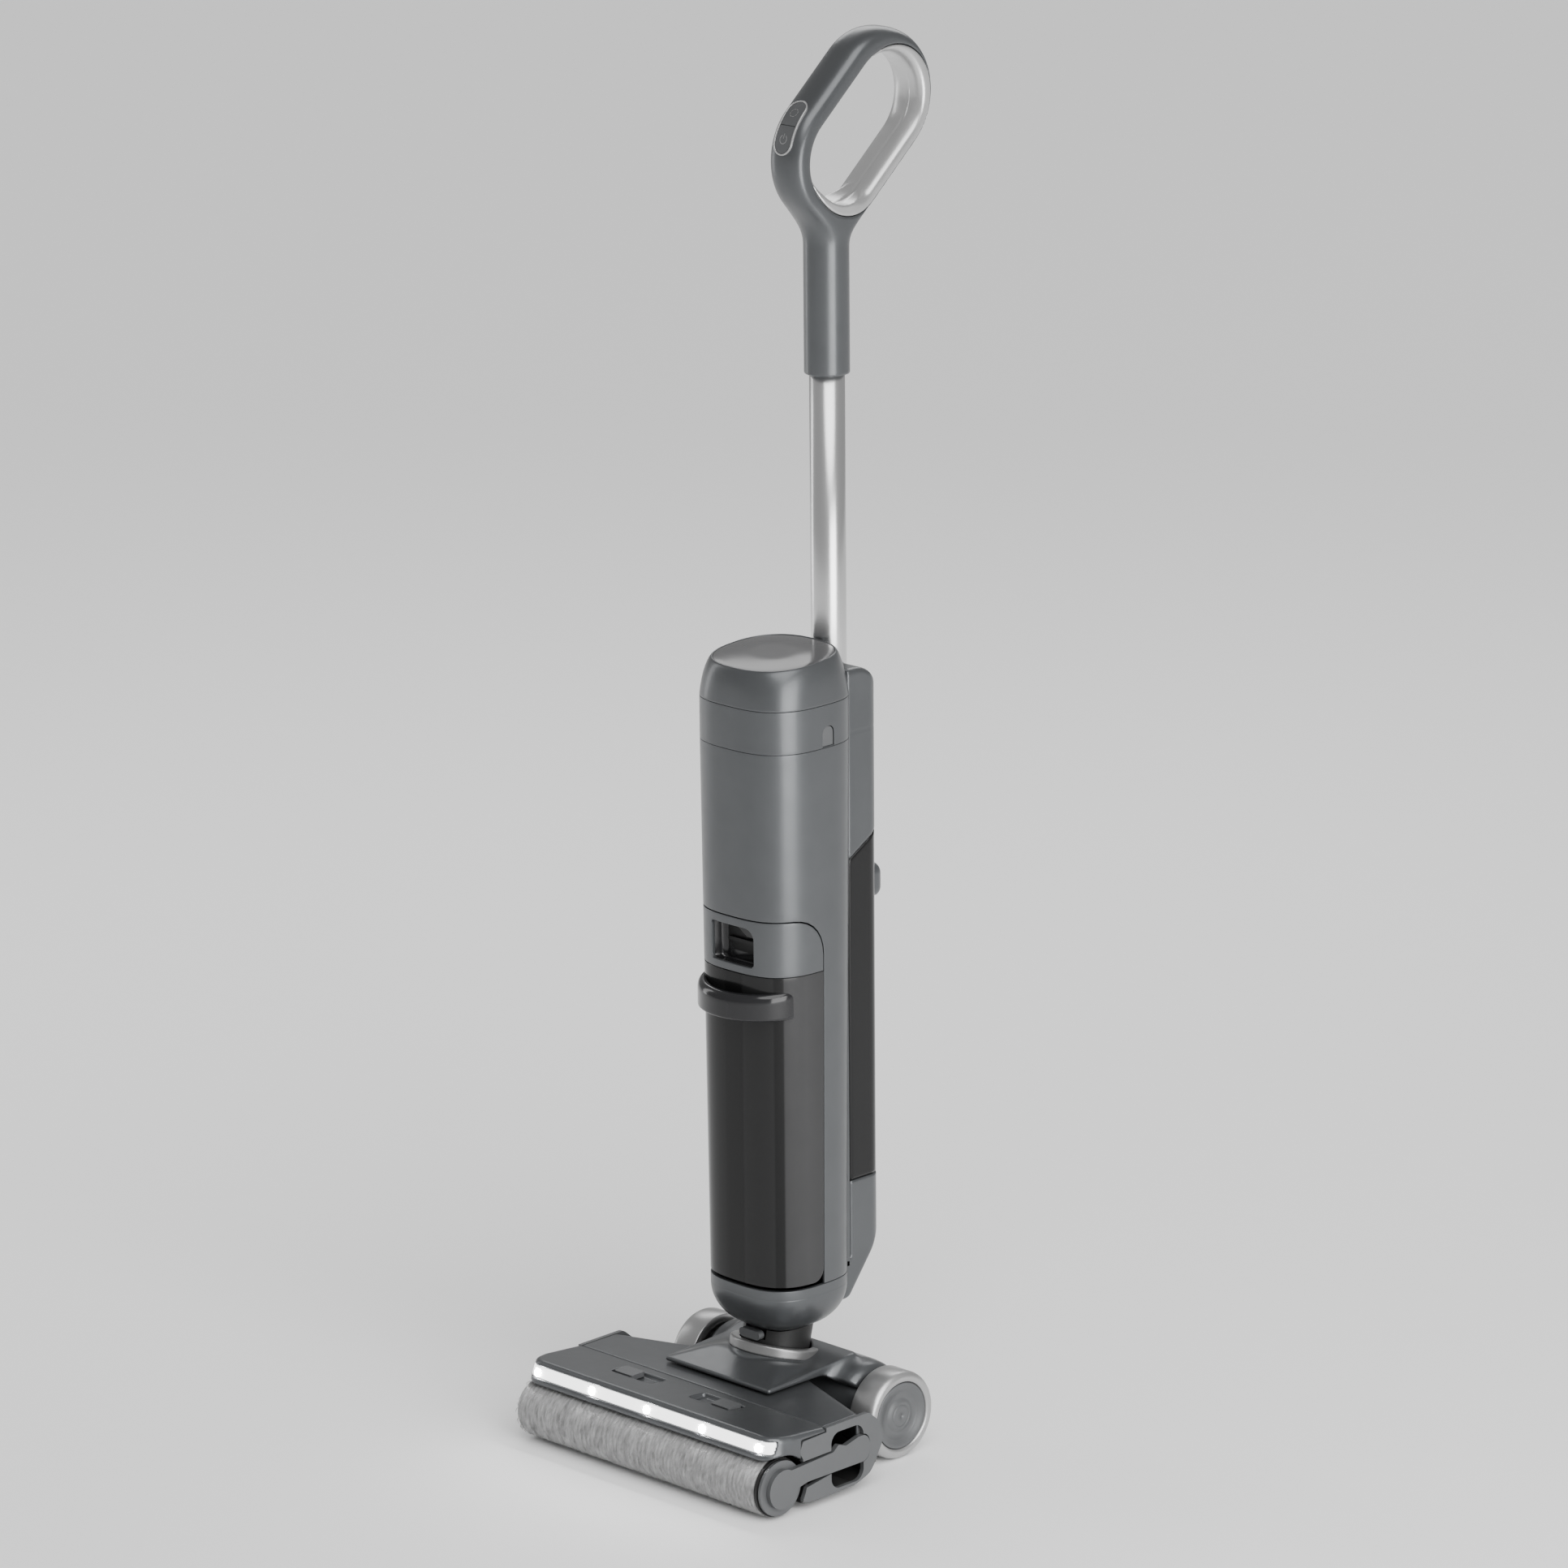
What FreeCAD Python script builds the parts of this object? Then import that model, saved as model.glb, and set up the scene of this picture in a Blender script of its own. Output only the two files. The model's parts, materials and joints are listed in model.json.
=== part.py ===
"""Wet dry floor scrubber: a roller head on two wheels, a reclining and swivelling upright with two tanks,
and a plug-in pole with a loop handle.

Frame: +Z up, front of the head towards -Y, +X to the right of someone behind the handle. The origin is on the
floor at the middle of the whole outline. Heights are measured from the floor, and depths from the wheel axle,
which stands axle_y behind the origin.
"""
import FreeCAD, Part
import math
import os
import Sketcher

V = FreeCAD.Vector
X_AXIS = V(1, 0, 0)
Y_AXIS = V(0, 1, 0)
Z_AXIS = V(0, 0, 1)

SIZES = {
    # wheels and axle
    "axle_y": 20.45,
    "axle_z": 35.2,
    "axle_radius": 4.0,
    "axle_length": 211.0,
    "wheel_inner_x": 87.5,
    "wheel_width": 24.1,
    "tyre_radius": 35.2,
    "tyre_thickness": 4.4,
    "hubcap_radius": 26.6,
    "housing_radius": 26.0,
    "housing_length": 173.0,
    # cleaning roller
    "roller_y": -157.2,
    "roller_z": 24.5,
    "nap_radius": 24.5,
    "core_radius": 19.5,
    "core_bore": 16.0,
    "roller_left_x": -135.3,
    "roller_right_x": 130.4,
    "motor_radius": 13.5,
    "motor_length": 112.0,
    "spigot_length": 14.0,
    "stub_radius": 5.0,
    "stub_length": 20.0,
    # head shells
    "head_half_width": 137.3,
    "plate_thickness": 3.6,
    "arm_outer_x": 138.1,
    "arm_thickness": 4.2,
    "latch_height": 4.0,
    # yoke, collar and neck
    "yoke_half_width": 58.0,
    "barrel_half_width": 82.0,
    "barrel_inner_radius": 26.6,
    "barrel_outer_radius": 33.2,
    "collar_y": -28.0,
    "collar_z": 74.7,
    "collar_tilt": 14.0,
    "collar_radius": 36.0,
    "neck_radius": 27.0,
    "neck_bore": 12.0,
    # upright body
    "body_y": -23.0,
    "body_half_width": 52.5,
    "body_half_depth": 50.5,
    "body_corner": 36.0,
    "draft": 0.45,
    "bowl_bottom_z": 93.0,
    "bowl_top_z": 134.7,
    "tank_bottom_z": 137.8,
    "tank_split_z": 390.0,
    "tank_top_z": 434.0,
    "shell_bottom_z": 434.5,
    "shell_top_z": 567.3,
    "band_bottom_z": 567.8,
    "band_top_z": 601.0,
    "lid_bottom_z": 601.4,
    "lid_top_z": 630.0,
    "tank_back_y": -22.4,
    "frame_front_y": -21.8,
    "body_wall": 2.6,
    "duct_y": -43.0,
    "lens_thickness": 1.6,
    # rear module
    "rear_half_width": 35.0,
    "rear_front_y": 22.2,
    "rear_back_y": 59.0,
    "rear_corner": 14.0,
    "clean_bottom_z": 205.0,
    "clean_top_inner_z": 465.0,
    "clean_top_outer_z": 487.0,
    "rear_top_inner_z": 617.0,
    "rear_top_outer_z": 603.0,
    "rear_base_z": 119.0,
    # pole and handle
    "pole_y": 37.3,
    "pole_radius": 13.8,
    "pole_bottom_z": 520.0,
    "pole_top_z": 900.0,
    "sleeve_radius": 17.7,
    "sleeve_bottom_z": 843.0,
    "sleeve_top_z": 956.0,
    "loop_low_y": 42.0,
    "loop_low_z": 1011.0,
    "loop_high_y": 88.0,
    "loop_high_z": 1051.0,
    "loop_radius": 44.0,
    "loop_half_width": 17.0,
    "loop_half_thickness": 8.8,
}

doc = FreeCAD.newDocument("floor_scrubber")
sheet = doc.addObject("Spreadsheet::Sheet", "sizes")
for row, (name, value) in enumerate(SIZES.items(), 1):
    sheet.set(f"A{row}", name)
    sheet.set(f"B{row}", str(value))
    sheet.setAlias(f"B{row}", name)
doc.recompute()

SUB_PARTS = []


def size(name):
    """The number in a cell of the sheet."""
    return float(getattr(sheet, name))


AXLE_Y = size("axle_y")
AXLE_Z = size("axle_z")
ROLLER_Y = size("roller_y")
ROLLER_Z = size("roller_z")
BODY_Y = size("body_y")
POLE_Y = size("pole_y")
SPINE_HALF = size("rear_half_width") - 1.0
COLLAR = V(0, size("collar_y"), size("collar_z"))
TILT = math.radians(size("collar_tilt"))
COLLAR_AXIS = V(0, math.sin(TILT), math.cos(TILT))
COLLAR_FRONT = V(0, -math.cos(TILT), math.sin(TILT))


def place(point=V(0, 0, 0), turn=FreeCAD.Rotation()):
    """A placement for a point given from the wheel axle's depth."""
    return FreeCAD.Placement(V(point.x, point.y + AXLE_Y, point.z), turn)


def along(direction):
    """The turn that lays a primitive's Z axis along a direction."""
    return FreeCAD.Rotation(Z_AXIS, direction)


def bind(thing, prop, amount):
    """Set a property to a number, or tie it to a cell of the sheet."""
    if isinstance(amount, str):
        thing.setExpression(prop, "sizes." + amount)
    else:
        setattr(thing, prop, amount)


def sub_part(thing, label):
    """Name a finished object and put it on the list that is written out."""
    thing.Label = label
    SUB_PARTS.append(thing)
    return thing


# ---- Part primitives and booleans ----

def cylinder(radius, height, base, direction=Z_AXIS):
    thing = doc.addObject("Part::Cylinder", "Cylinder")
    bind(thing, "Radius", radius)
    bind(thing, "Height", height)
    thing.Placement = place(base, along(direction))
    return thing


def cone(low_radius, high_radius, height, base, direction=Z_AXIS):
    thing = doc.addObject("Part::Cone", "Cone")
    bind(thing, "Radius1", low_radius)
    bind(thing, "Radius2", high_radius)
    bind(thing, "Height", height)
    thing.Placement = place(base, along(direction))
    return thing


def box(low, high):
    thing = doc.addObject("Part::Box", "Box")
    thing.Length = high.x - low.x
    thing.Width = high.y - low.y
    thing.Height = high.z - low.z
    thing.Placement = place(low)
    return thing



def cut(base, tool):
    thing = doc.addObject("Part::Cut", "Cut")
    thing.Base = base
    thing.Tool = tool
    return thing


def common(base, tool):
    thing = doc.addObject("Part::Common", "Common")
    thing.Base = base
    thing.Tool = tool
    return thing


def fuse(*shapes):
    thing = doc.addObject("Part::MultiFuse", "Fuse")
    thing.Shapes = list(shapes)
    thing.Refine = True
    return thing


def tube(outer, inner, height, base, direction=Z_AXIS):
    return cut(cylinder(outer, height, base, direction), cylinder(inner, height, base, direction))


def fillet_edges(base, radius, wanted):
    """Round the edges of an object that a test picks out."""
    doc.recompute()
    thing = doc.addObject("Part::Fillet", "Fillet")
    thing.Base = base
    picked = [i for i, edge in enumerate(base.Shape.Edges, 1) if wanted(edge)]
    thing.Edges = [(i, radius, radius) for i in picked]
    return thing


# ---- PartDesign bodies ----

def new_body(name):
    body = doc.addObject("PartDesign::Body", "Body_" + name)
    body.Placement = place()
    return body


def sketch_on(body, plane, offset=0.0):
    """A sketch on one of the body's own origin planes, moved along its normal."""
    sketch = body.newObject("Sketcher::SketchObject", "Sketch")
    support = next(f for f in body.Origin.OriginFeatures if f.Role == plane)
    sketch.AttachmentSupport = [(support, "")]
    sketch.MapMode = "FlatFace"
    sketch.AttachmentOffset = FreeCAD.Placement(V(0, 0, offset), FreeCAD.Rotation())
    return sketch


def draw_circle(sketch, x, y, radius):
    """A circle whose radius is tied to the sheet when it is given by name."""
    value = size(radius) if isinstance(radius, str) else radius
    index = sketch.addGeometry(Part.Circle(V(x, y, 0), Z_AXIS, value), False)
    rule = sketch.addConstraint(Sketcher.Constraint("Radius", index, value))
    if isinstance(radius, str):
        sketch.setExpression(f"Constraints[{rule}]", "sizes." + radius)


def rounded_points(points, radii):
    """Edges of a closed outline whose corners are rounded: line segments and arcs, in order."""
    count = len(points)
    corners = []
    for i in range(count):
        here = V(*points[i], 0)
        back = V(*points[i - 1], 0).sub(here)
        ahead = V(*points[(i + 1) % count], 0).sub(here)
        back.normalize()
        ahead.normalize()
        radius = radii[i] if isinstance(radii, (list, tuple)) else radii
        if radius <= 0:
            corners.append((here, here, None))
            continue
        half = back.getAngle(ahead) / 2
        reach = radius / math.tan(half)
        bisector = back.add(ahead)
        bisector.normalize()
        centre = here.add(bisector.multiply(radius / math.sin(half)))
        middle = centre.add(here.sub(centre).normalize().multiply(radius))
        corners.append((here.add(V(back).multiply(reach)), here.add(V(ahead).multiply(reach)), middle))
    edges = []
    for i in range(count):
        start, end, middle = corners[i]
        if middle is not None:
            edges.append(Part.Arc(start, middle, end))
        following = corners[(i + 1) % count][0]
        if end.distanceToPoint(following) > 1e-6:
            edges.append(Part.LineSegment(end, following))
    return edges


def draw_rounded(sketch, points, radii):
    """A closed outline with rounded corners."""
    for edge in rounded_points(points, radii):
        sketch.addGeometry(edge, False)


def rectangle_points(half_width, low, high):
    return [(-half_width, low), (half_width, low), (half_width, high), (-half_width, high)]


def pad(body, sketch, length, middle=False, back=False, taper=None):
    feature = body.newObject("PartDesign::Pad", "Pad")
    feature.Profile = sketch
    bind(feature, "Length", length)
    if middle:
        feature.SideType = "Symmetric"
    feature.Reversed = back
    if taper is not None:
        bind(feature, "TaperAngle", taper)
    return feature


def pocket(body, sketch, length, middle=False, back=False, taper=None):
    feature = body.newObject("PartDesign::Pocket", "Pocket")
    feature.Profile = sketch
    bind(feature, "Length", length)
    if middle:
        feature.SideType = "Symmetric"
    feature.Reversed = back
    if taper is not None:
        bind(feature, "TaperAngle", taper)
    return feature


def revolve(body, sketch, role="X_Axis"):
    feature = body.newObject("PartDesign::Revolution", "Revolution")
    feature.Profile = sketch
    axis = next(f for f in body.Origin.OriginFeatures if f.Role == role)
    feature.ReferenceAxis = (axis, [""])
    feature.Angle = 360.0
    return feature


def turned(name, profile, base, turn=FreeCAD.Rotation(), rounding=0.0):
    """A body turned about its own X axis from (along, radius) points, placed at a base point."""
    body = new_body(name)
    body.Placement = place(base, turn)
    sketch = sketch_on(body, "XY_Plane")
    draw_rounded(sketch, profile, rounding)
    revolve(body, sketch)
    return body


def round_edges(body, radius, wanted):
    """Fillet the edges of a body's last feature that a test picks out."""
    doc.recompute()
    base = body.Tip
    picked = [f"Edge{i}" for i, edge in enumerate(base.Shape.Edges, 1) if wanted(edge)]
    feature = body.newObject("PartDesign::Fillet", "Fillet")
    feature.Base = (base, picked)
    feature.Radius = radius


def prism(name, plane, start, length, points, radii=0.0, middle=False, back=False):
    """A body made by padding one outline."""
    body = new_body(name)
    sketch = sketch_on(body, plane, start)
    draw_rounded(sketch, points, radii)
    pad(body, sketch, length, middle, back)
    return body


def cut_outline(body, plane, start, length, points, radii=0.0, middle=False, back=False):
    """Pocket one outline out of a body."""
    sketch = sketch_on(body, plane, start)
    draw_rounded(sketch, points, radii)
    pocket(body, sketch, length, middle, back)


# ---- sections of the upright body ----

def shrink(z):
    """How far the drafted side stands inside its full size at a height."""
    return max(0.0, size("shell_top_z") - z) * math.tan(math.radians(size("draft")))


def body_section(z, inset=0.0):
    """Corner points and corner radius of the upright's section at a height."""
    offset = shrink(z) + inset
    half_width = size("body_half_width") - offset
    half_depth = size("body_half_depth") - offset
    corners = rectangle_points(half_width, BODY_Y - half_depth, BODY_Y + half_depth)
    return corners, size("body_corner") - offset


def body_block(name, low, high, inset=0.0):
    """A drafted block of the upright between two heights."""
    body = new_body(name)
    points, corner = body_section(high, inset)
    sketch = sketch_on(body, "XY_Plane", high)
    draw_rounded(sketch, points, corner)
    # a pad that runs down from its larger end narrows by the draft
    feature = pad(body, sketch, high - low, back=True)
    feature.TaperAngle = -size("draft")
    return body


# ---- head ----

def head_side_outline():
    """Side plate outline: depth and height, from the rear end round the bottom to the seam with the cover."""
    points = [(-48, 36), (-52, 52), (-64, 62), (-110.5, 61.7), (-110.5, 58.2), (-136, 57.4), (-139.6, 49),
              (-136, 43), (-136, 8.2), (-128, 6.2), (-107, 6.2), (-80, 7.0), (-62, 12.3)]
    radii = [14, 10, 8, 0, 0, 2, 2, 0, 2, 2, 30, 10, 16]
    return points, radii


def arm_points():
    """Bar of the roller arm: from the roller's axis back to its round end in the recess."""
    return [(-150, 38), (-104, 40.3), (-98, 45), (-90, 42), (-76, 45.5), (-64, 45.5), (-64, 24), (-132, 24),
            (-150, 20)]


def build_side_plates(mount):
    points, radii = head_side_outline()
    half_width = size("head_half_width")
    left = prism("side_plate_left", "YZ_Plane", -half_width, "plate_thickness", points, radii)
    clearance = sketch_on(left, "YZ_Plane", 0)
    draw_circle(clearance, ROLLER_Y, ROLLER_Z, size("nap_radius") + 1.5)
    pocket(left, clearance, 200.0)
    sub_part(cut(left, mount), "side_plate_left")
    right = prism("side_plate_right", "YZ_Plane", half_width - size("plate_thickness"), "plate_thickness",
                  points, radii)
    recess = [(-105.3, 9.5), (-70, 9.5), (-70, 55.3), (-105.3, 55.3)]
    cut_outline(right, "YZ_Plane", 0, 200, recess, 9, back=True)
    slot = [(-145, 17.0), (-105, 23.2), (-63.2, 23.2), (-63.2, 46.3), (-92, 46.3), (-104, 41.6), (-145, 41)]
    cut_outline(right, "YZ_Plane", 0, 200, slot, [0, 0, 8, 8, 0, 0, 0], back=True)
    passage = sketch_on(right, "YZ_Plane", 0)
    draw_circle(passage, ROLLER_Y, ROLLER_Z, size("nap_radius") + 1.0)
    pocket(right, passage, 200.0, back=True)
    sub_part(right, "side_plate_right")


def build_motor_mount():
    """Thin metal arm from the left side plate to the roller's axis, and the tube motor on it."""
    body = new_body("motor_mount")
    left = -size("arm_outer_x")
    thickness = 2.4
    disc = sketch_on(body, "YZ_Plane", left)
    draw_circle(disc, ROLLER_Y, ROLLER_Z, 17.0)
    pad(body, disc, thickness)
    bar = sketch_on(body, "YZ_Plane", left)
    draw_rounded(bar, [(ROLLER_Y, 11), (-110, 14), (-110, 40), (ROLLER_Y, 38)], [0, 10, 10, 0])
    pad(body, bar, thickness)
    sub_part(body, "motor_mount")
    start = V(left + thickness, ROLLER_Y, ROLLER_Z)
    can = tube("motor_radius", 10.5, "motor_length", start, X_AXIS)
    seat = tube(10.5, 4.05, 6.0, V(start.x + size("motor_length") - 6, ROLLER_Y, ROLLER_Z), X_AXIS)
    sub_part(fuse(can, seat), "roller_motor_can")
    return body


def build_drive():
    """Motor rotor with its output spigot, which turns with the roller."""
    left = -size("arm_outer_x") + 2.4
    end = left + size("motor_length")
    shaft = cylinder(4.0, 108.0, V(left + 10, ROLLER_Y, ROLLER_Z), X_AXIS)
    magnets = cylinder(9.9, 84.0, V(left + 14, ROLLER_Y, ROLLER_Z), X_AXIS)
    spigot = doc.addObject("Part::Prism", "Spigot")
    spigot.Polygon = 6
    spigot.Circumradius = 8.5
    bind(spigot, "Height", "spigot_length")
    spigot.Placement = place(V(end + 0.6, ROLLER_Y, ROLLER_Z), along(X_AXIS))
    bore = cylinder(4.0, "spigot_length", V(end + 0.6, ROLLER_Y, ROLLER_Z), X_AXIS)
    sub_part(fuse(shaft, magnets, cut(spigot, bore)), "roller_motor_rotor")


def build_roller():
    left = size("roller_left_x")
    right = size("roller_right_x")
    base = V(0, ROLLER_Y, ROLLER_Z)
    core = turned("roller_core", [(left + 1, size("core_bore")), (right - 8, size("core_bore")),
                                  (right - 8, 5.06), (right, 5.06), (right, size("core_radius")),
                                  (left + 1, size("core_radius"))], base)
    nap = turned("roller_nap", [(left, size("core_radius")), (right - 2.5, size("core_radius")),
                                (right - 2.5, size("nap_radius")), (left, size("nap_radius"))],
                 base, rounding=[0, 0, 5, 5])
    sub_part(nap, "roller_nap")
    ring = tube(23.2, size("core_radius") - 1, 2.4, V(right - 2.4, ROLLER_Y, ROLLER_Z), X_AXIS)
    spigot_x = -size("arm_outer_x") + 2.4 + size("motor_length") + 0.6
    plug = cylinder(size("core_bore"), 11.0, V(spigot_x + 2, ROLLER_Y, ROLLER_Z), X_AXIS)
    socket = doc.addObject("Part::Prism", "Socket")
    socket.Polygon = 6
    socket.Circumradius = 8.7
    socket.Height = 11.0
    socket.Placement = place(V(spigot_x + 2, ROLLER_Y, ROLLER_Z), along(X_AXIS))
    sub_part(fuse(core, ring, cut(plug, socket)), "roller_core")


def build_roller_arm():
    """Bone-shaped arm that carries the roller's right end and pulls out sideways with it."""
    outer = size("arm_outer_x")
    inner = outer - size("arm_thickness")
    body = new_body("roller_arm")
    disc = sketch_on(body, "YZ_Plane", inner)
    draw_circle(disc, ROLLER_Y, ROLLER_Z, 15.7)
    pad(body, disc, "arm_thickness")
    bar = sketch_on(body, "YZ_Plane", inner)
    draw_rounded(bar, arm_points(), [0, 3, 2, 3, 4, 8, 8, 6, 0])
    pad(body, bar, "arm_thickness")
    flange = sketch_on(body, "YZ_Plane", inner - 2.6)
    draw_circle(flange, ROLLER_Y, ROLLER_Z, 22.0)
    pad(body, flange, 2.6)
    stub = sketch_on(body, "YZ_Plane", inner - size("stub_length"))
    draw_circle(stub, ROLLER_Y, ROLLER_Z, "stub_radius")
    pad(body, stub, "stub_length")
    peg = sketch_on(body, "YZ_Plane", inner - 8)
    draw_circle(peg, -75, 34, 5.0)
    pad(body, peg, 8.0)
    sub_part(body, "roller_arm")


def build_chassis():
    """Tray of the head: floor, curved wall behind the roller, rear wall and the web to the axle housing."""
    half = size("head_half_width") - size("plate_thickness") - 0.1
    body = prism("head_chassis", "YZ_Plane", 0, 2 * half,
                 [(-131, 8.8), (-80, 8.8), (-62, 13.0), (-62, 10.4), (-79, 6.2), (-131, 6.2)], 0, middle=True)
    rear = [(-62, 10.4), (-53, 18), (-50.4, 30), (-50.4, 36), (-53, 36), (-55.5, 20), (-64, 13.2)]
    sketch = sketch_on(body, "YZ_Plane", 0)
    draw_rounded(sketch, rear, 0)
    pad(body, sketch, 2 * half, middle=True)
    wall = sketch_on(body, "YZ_Plane", 0)
    inner, outer = size("nap_radius") + 2.5, size("nap_radius") + 5.0
    low, high = math.radians(-38), math.radians(40)
    spots = []
    for radius in (inner, outer):
        spots.append([V(ROLLER_Y + radius * math.cos(a), ROLLER_Z + radius * math.sin(a), 0)
                      for a in (low, (low + high) / 2, high)])
    wall.addGeometry(Part.Arc(*spots[0]), False)
    wall.addGeometry(Part.Arc(*spots[1]), False)
    wall.addGeometry(Part.LineSegment(spots[0][0], spots[1][0]), False)
    wall.addGeometry(Part.LineSegment(spots[0][2], spots[1][2]), False)
    pad(body, wall, 2 * half, middle=True)
    foot = sketch_on(body, "YZ_Plane", 0)
    draw_rounded(foot, [(-135.8, 6.6), (-128, 6.2), (-128, 8.6), (-135.8, 11)], 0)
    pad(body, foot, 2 * half, middle=True)
    web = sketch_on(body, "YZ_Plane", 0)
    draw_rounded(web, [(-53, 20), (-24, 22), (-24, 30), (-51, 30)], 0)
    pad(body, web, size("housing_length") - 1, middle=True)
    return body


def build_axle_housing(chassis):
    """Half-open barrel around the axle; the neck turns in its open middle."""
    length = size("housing_length")
    barrel = cylinder("housing_radius", "housing_length", V(-length / 2, 0, AXLE_Z), X_AXIS)
    bore = cylinder(size("axle_radius") + 0.03, "housing_length", V(-length / 2, 0, AXLE_Z), X_AXIS)
    window = box(V(-38, -30, 22), V(38, 30, AXLE_Z + 30))
    housing = cut(cut(fuse(barrel, chassis), bore), window)
    sub_part(housing, "head_chassis")
    axle = cylinder("axle_radius", "axle_length", V(-size("axle_length") / 2, 0, AXLE_Z), X_AXIS)
    sub_part(axle, "wheel_axle")


def build_rear_shell():
    """Top shell of the head behind the removable cover, falling away to the axle housing."""
    half = size("head_half_width") - size("plate_thickness") - 0.1
    outer = [(-110.3, 61.5), (-66, 61.8), (-51, 50), (-50.2, 36.4)]
    inner = [(-52.8, 36.4), (-53.4, 49), (-67, 59.2), (-110.3, 59)]
    body = prism("rear_shell", "YZ_Plane", 0, 2 * half, outer + inner, [0, 12, 6, 0, 0, 4, 9, 0], middle=True)
    rib = sketch_on(body, "YZ_Plane", 0)
    draw_rounded(rib, [(-108.5, 59.4), (-106, 59.4), (-106, 40), (-108.5, 40)], 0)
    pad(body, rib, 2 * half - 12, middle=True)
    sub_part(body, "rear_shell")


def build_cover():
    """Removable cover over the roller, with a rebate for the light strip and two latch recesses."""
    half = size("head_half_width")
    outline = [(-110.9, 61.7), (-160, 66.4), (-167.2, 64), (-171.6, 50.6), (-166.5, 48.6), (-137.2, 44.4),
               (-140.4, 49), (-136.4, 58), (-110.9, 58.6)]
    body = prism("roller_cover", "YZ_Plane", 0, 2 * half, outline, [0, 6, 3, 1, 0, 0, 0, 0, 0], middle=True)
    bay = sketch_on(body, "YZ_Plane", 0)
    draw_circle(bay, ROLLER_Y, ROLLER_Z, size("nap_radius") + 2.0)
    pocket(body, bay, 400.0, middle=True)
    lip = [(-175, 63.2), (-164.9, 63.2), (-168.3, 51.2), (-175, 51.2)]
    cut_outline(body, "YZ_Plane", 0, 2 * half - 9, lip, 0, middle=True)
    for centre in (-48.5, 38.5):
        slot = [(centre - 23, -139), (centre + 23, -139), (centre + 23, -122), (centre - 23, -122)]
        cut_outline(body, "XY_Plane", 60.4, 20, slot, 3, back=True)
    sub_part(body, "roller_cover")
    strip = prism("light_strip", "YZ_Plane", 0, 2 * half - 10,
                  [(-167.5, 63.0), (-165.1, 63.0), (-168.5, 51.4), (-171.0, 51.4)], 0.6, middle=True)
    sub_part(strip, "light_strip")


def build_latches():
    for side, centre, name in ((1, -48.5, "cover_latch_left"), (-1, 38.5, "cover_latch_right")):
        x = centre - side * 10
        body = prism(name, "XY_Plane", 60.6, "latch_height",
                     [(x - 10, -137.8), (x + 10, -137.8), (x + 10, -123.2), (x - 10, -123.2)], 2)
        sub_part(body, name)


def build_scraper():
    blade = prism("scraper_blade", "YZ_Plane", 0, 250.0,
                  [(-137.6, 7.5), (-136.2, 3.0), (-134.6, 3.0), (-135.9, 6.3)], 0, middle=True)
    sub_part(blade, "scraper_blade")


def build_suction_duct():
    """Flat duct from behind the roller to the middle of the head."""
    body = prism("suction_duct", "XY_Plane", 16.0, 18.0,
                 [(-60, -126), (60, -126), (22, -62), (-22, -62)], [4, 4, 10, 10])
    cut_outline(body, "XY_Plane", 18.0, 14.0, [(-57, -132), (57, -132), (19.5, -64.5), (-19.5, -64.5)],
                [0, 0, 8, 8], back=True)
    sub_part(body, "suction_duct")


def build_wheels():
    inner = size("wheel_inner_x")
    width = size("wheel_width")
    tread = size("tyre_radius")
    rim = tread - size("tyre_thickness")
    cap = size("hubcap_radius")
    for side, word in ((-1, "left"), (1, "right")):
        turn = FreeCAD.Rotation(Z_AXIS, 0 if side > 0 else 180)
        base = V(0, 0, AXLE_Z)
        bore = size("axle_radius") + 0.04
        wheel = turned("wheel_" + word,
                       [(inner + 2, bore), (inner + width - 6, bore), (inner + width - 6, rim),
                        (inner + width, rim), (inner + width, tread), (inner, tread), (inner, rim - 2),
                        (inner + width - 9, rim - 3), (inner + width - 9, 11), (inner + 2, 11)],
                       base, turn, rounding=[0, 0, 0, 1.0, 2.2, 1.5, 0, 0, 0, 0])
        sub_part(wheel, "wheel_" + word)
        face = inner + width
        cap_profile = [(face - 5.6, 0), (face - 5.6, cap + 3), (face - 2.2, cap + 3), (face - 0.8, cap - 1),
                       (face - 3.4, 12), (face - 1.4, 8), (face - 1.4, 0)]
        cover = turned("hubcap_" + word, cap_profile, base, turn)
        sub_part(cover, "hubcap_" + word)


# ---- yoke ----

def collar_point(up, front=0.0):
    """A point on the swivel axis, moved up along it and towards the front in the collar's plane."""
    return COLLAR.add(COLLAR_AXIS * up).add(COLLAR_FRONT * front)


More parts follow.
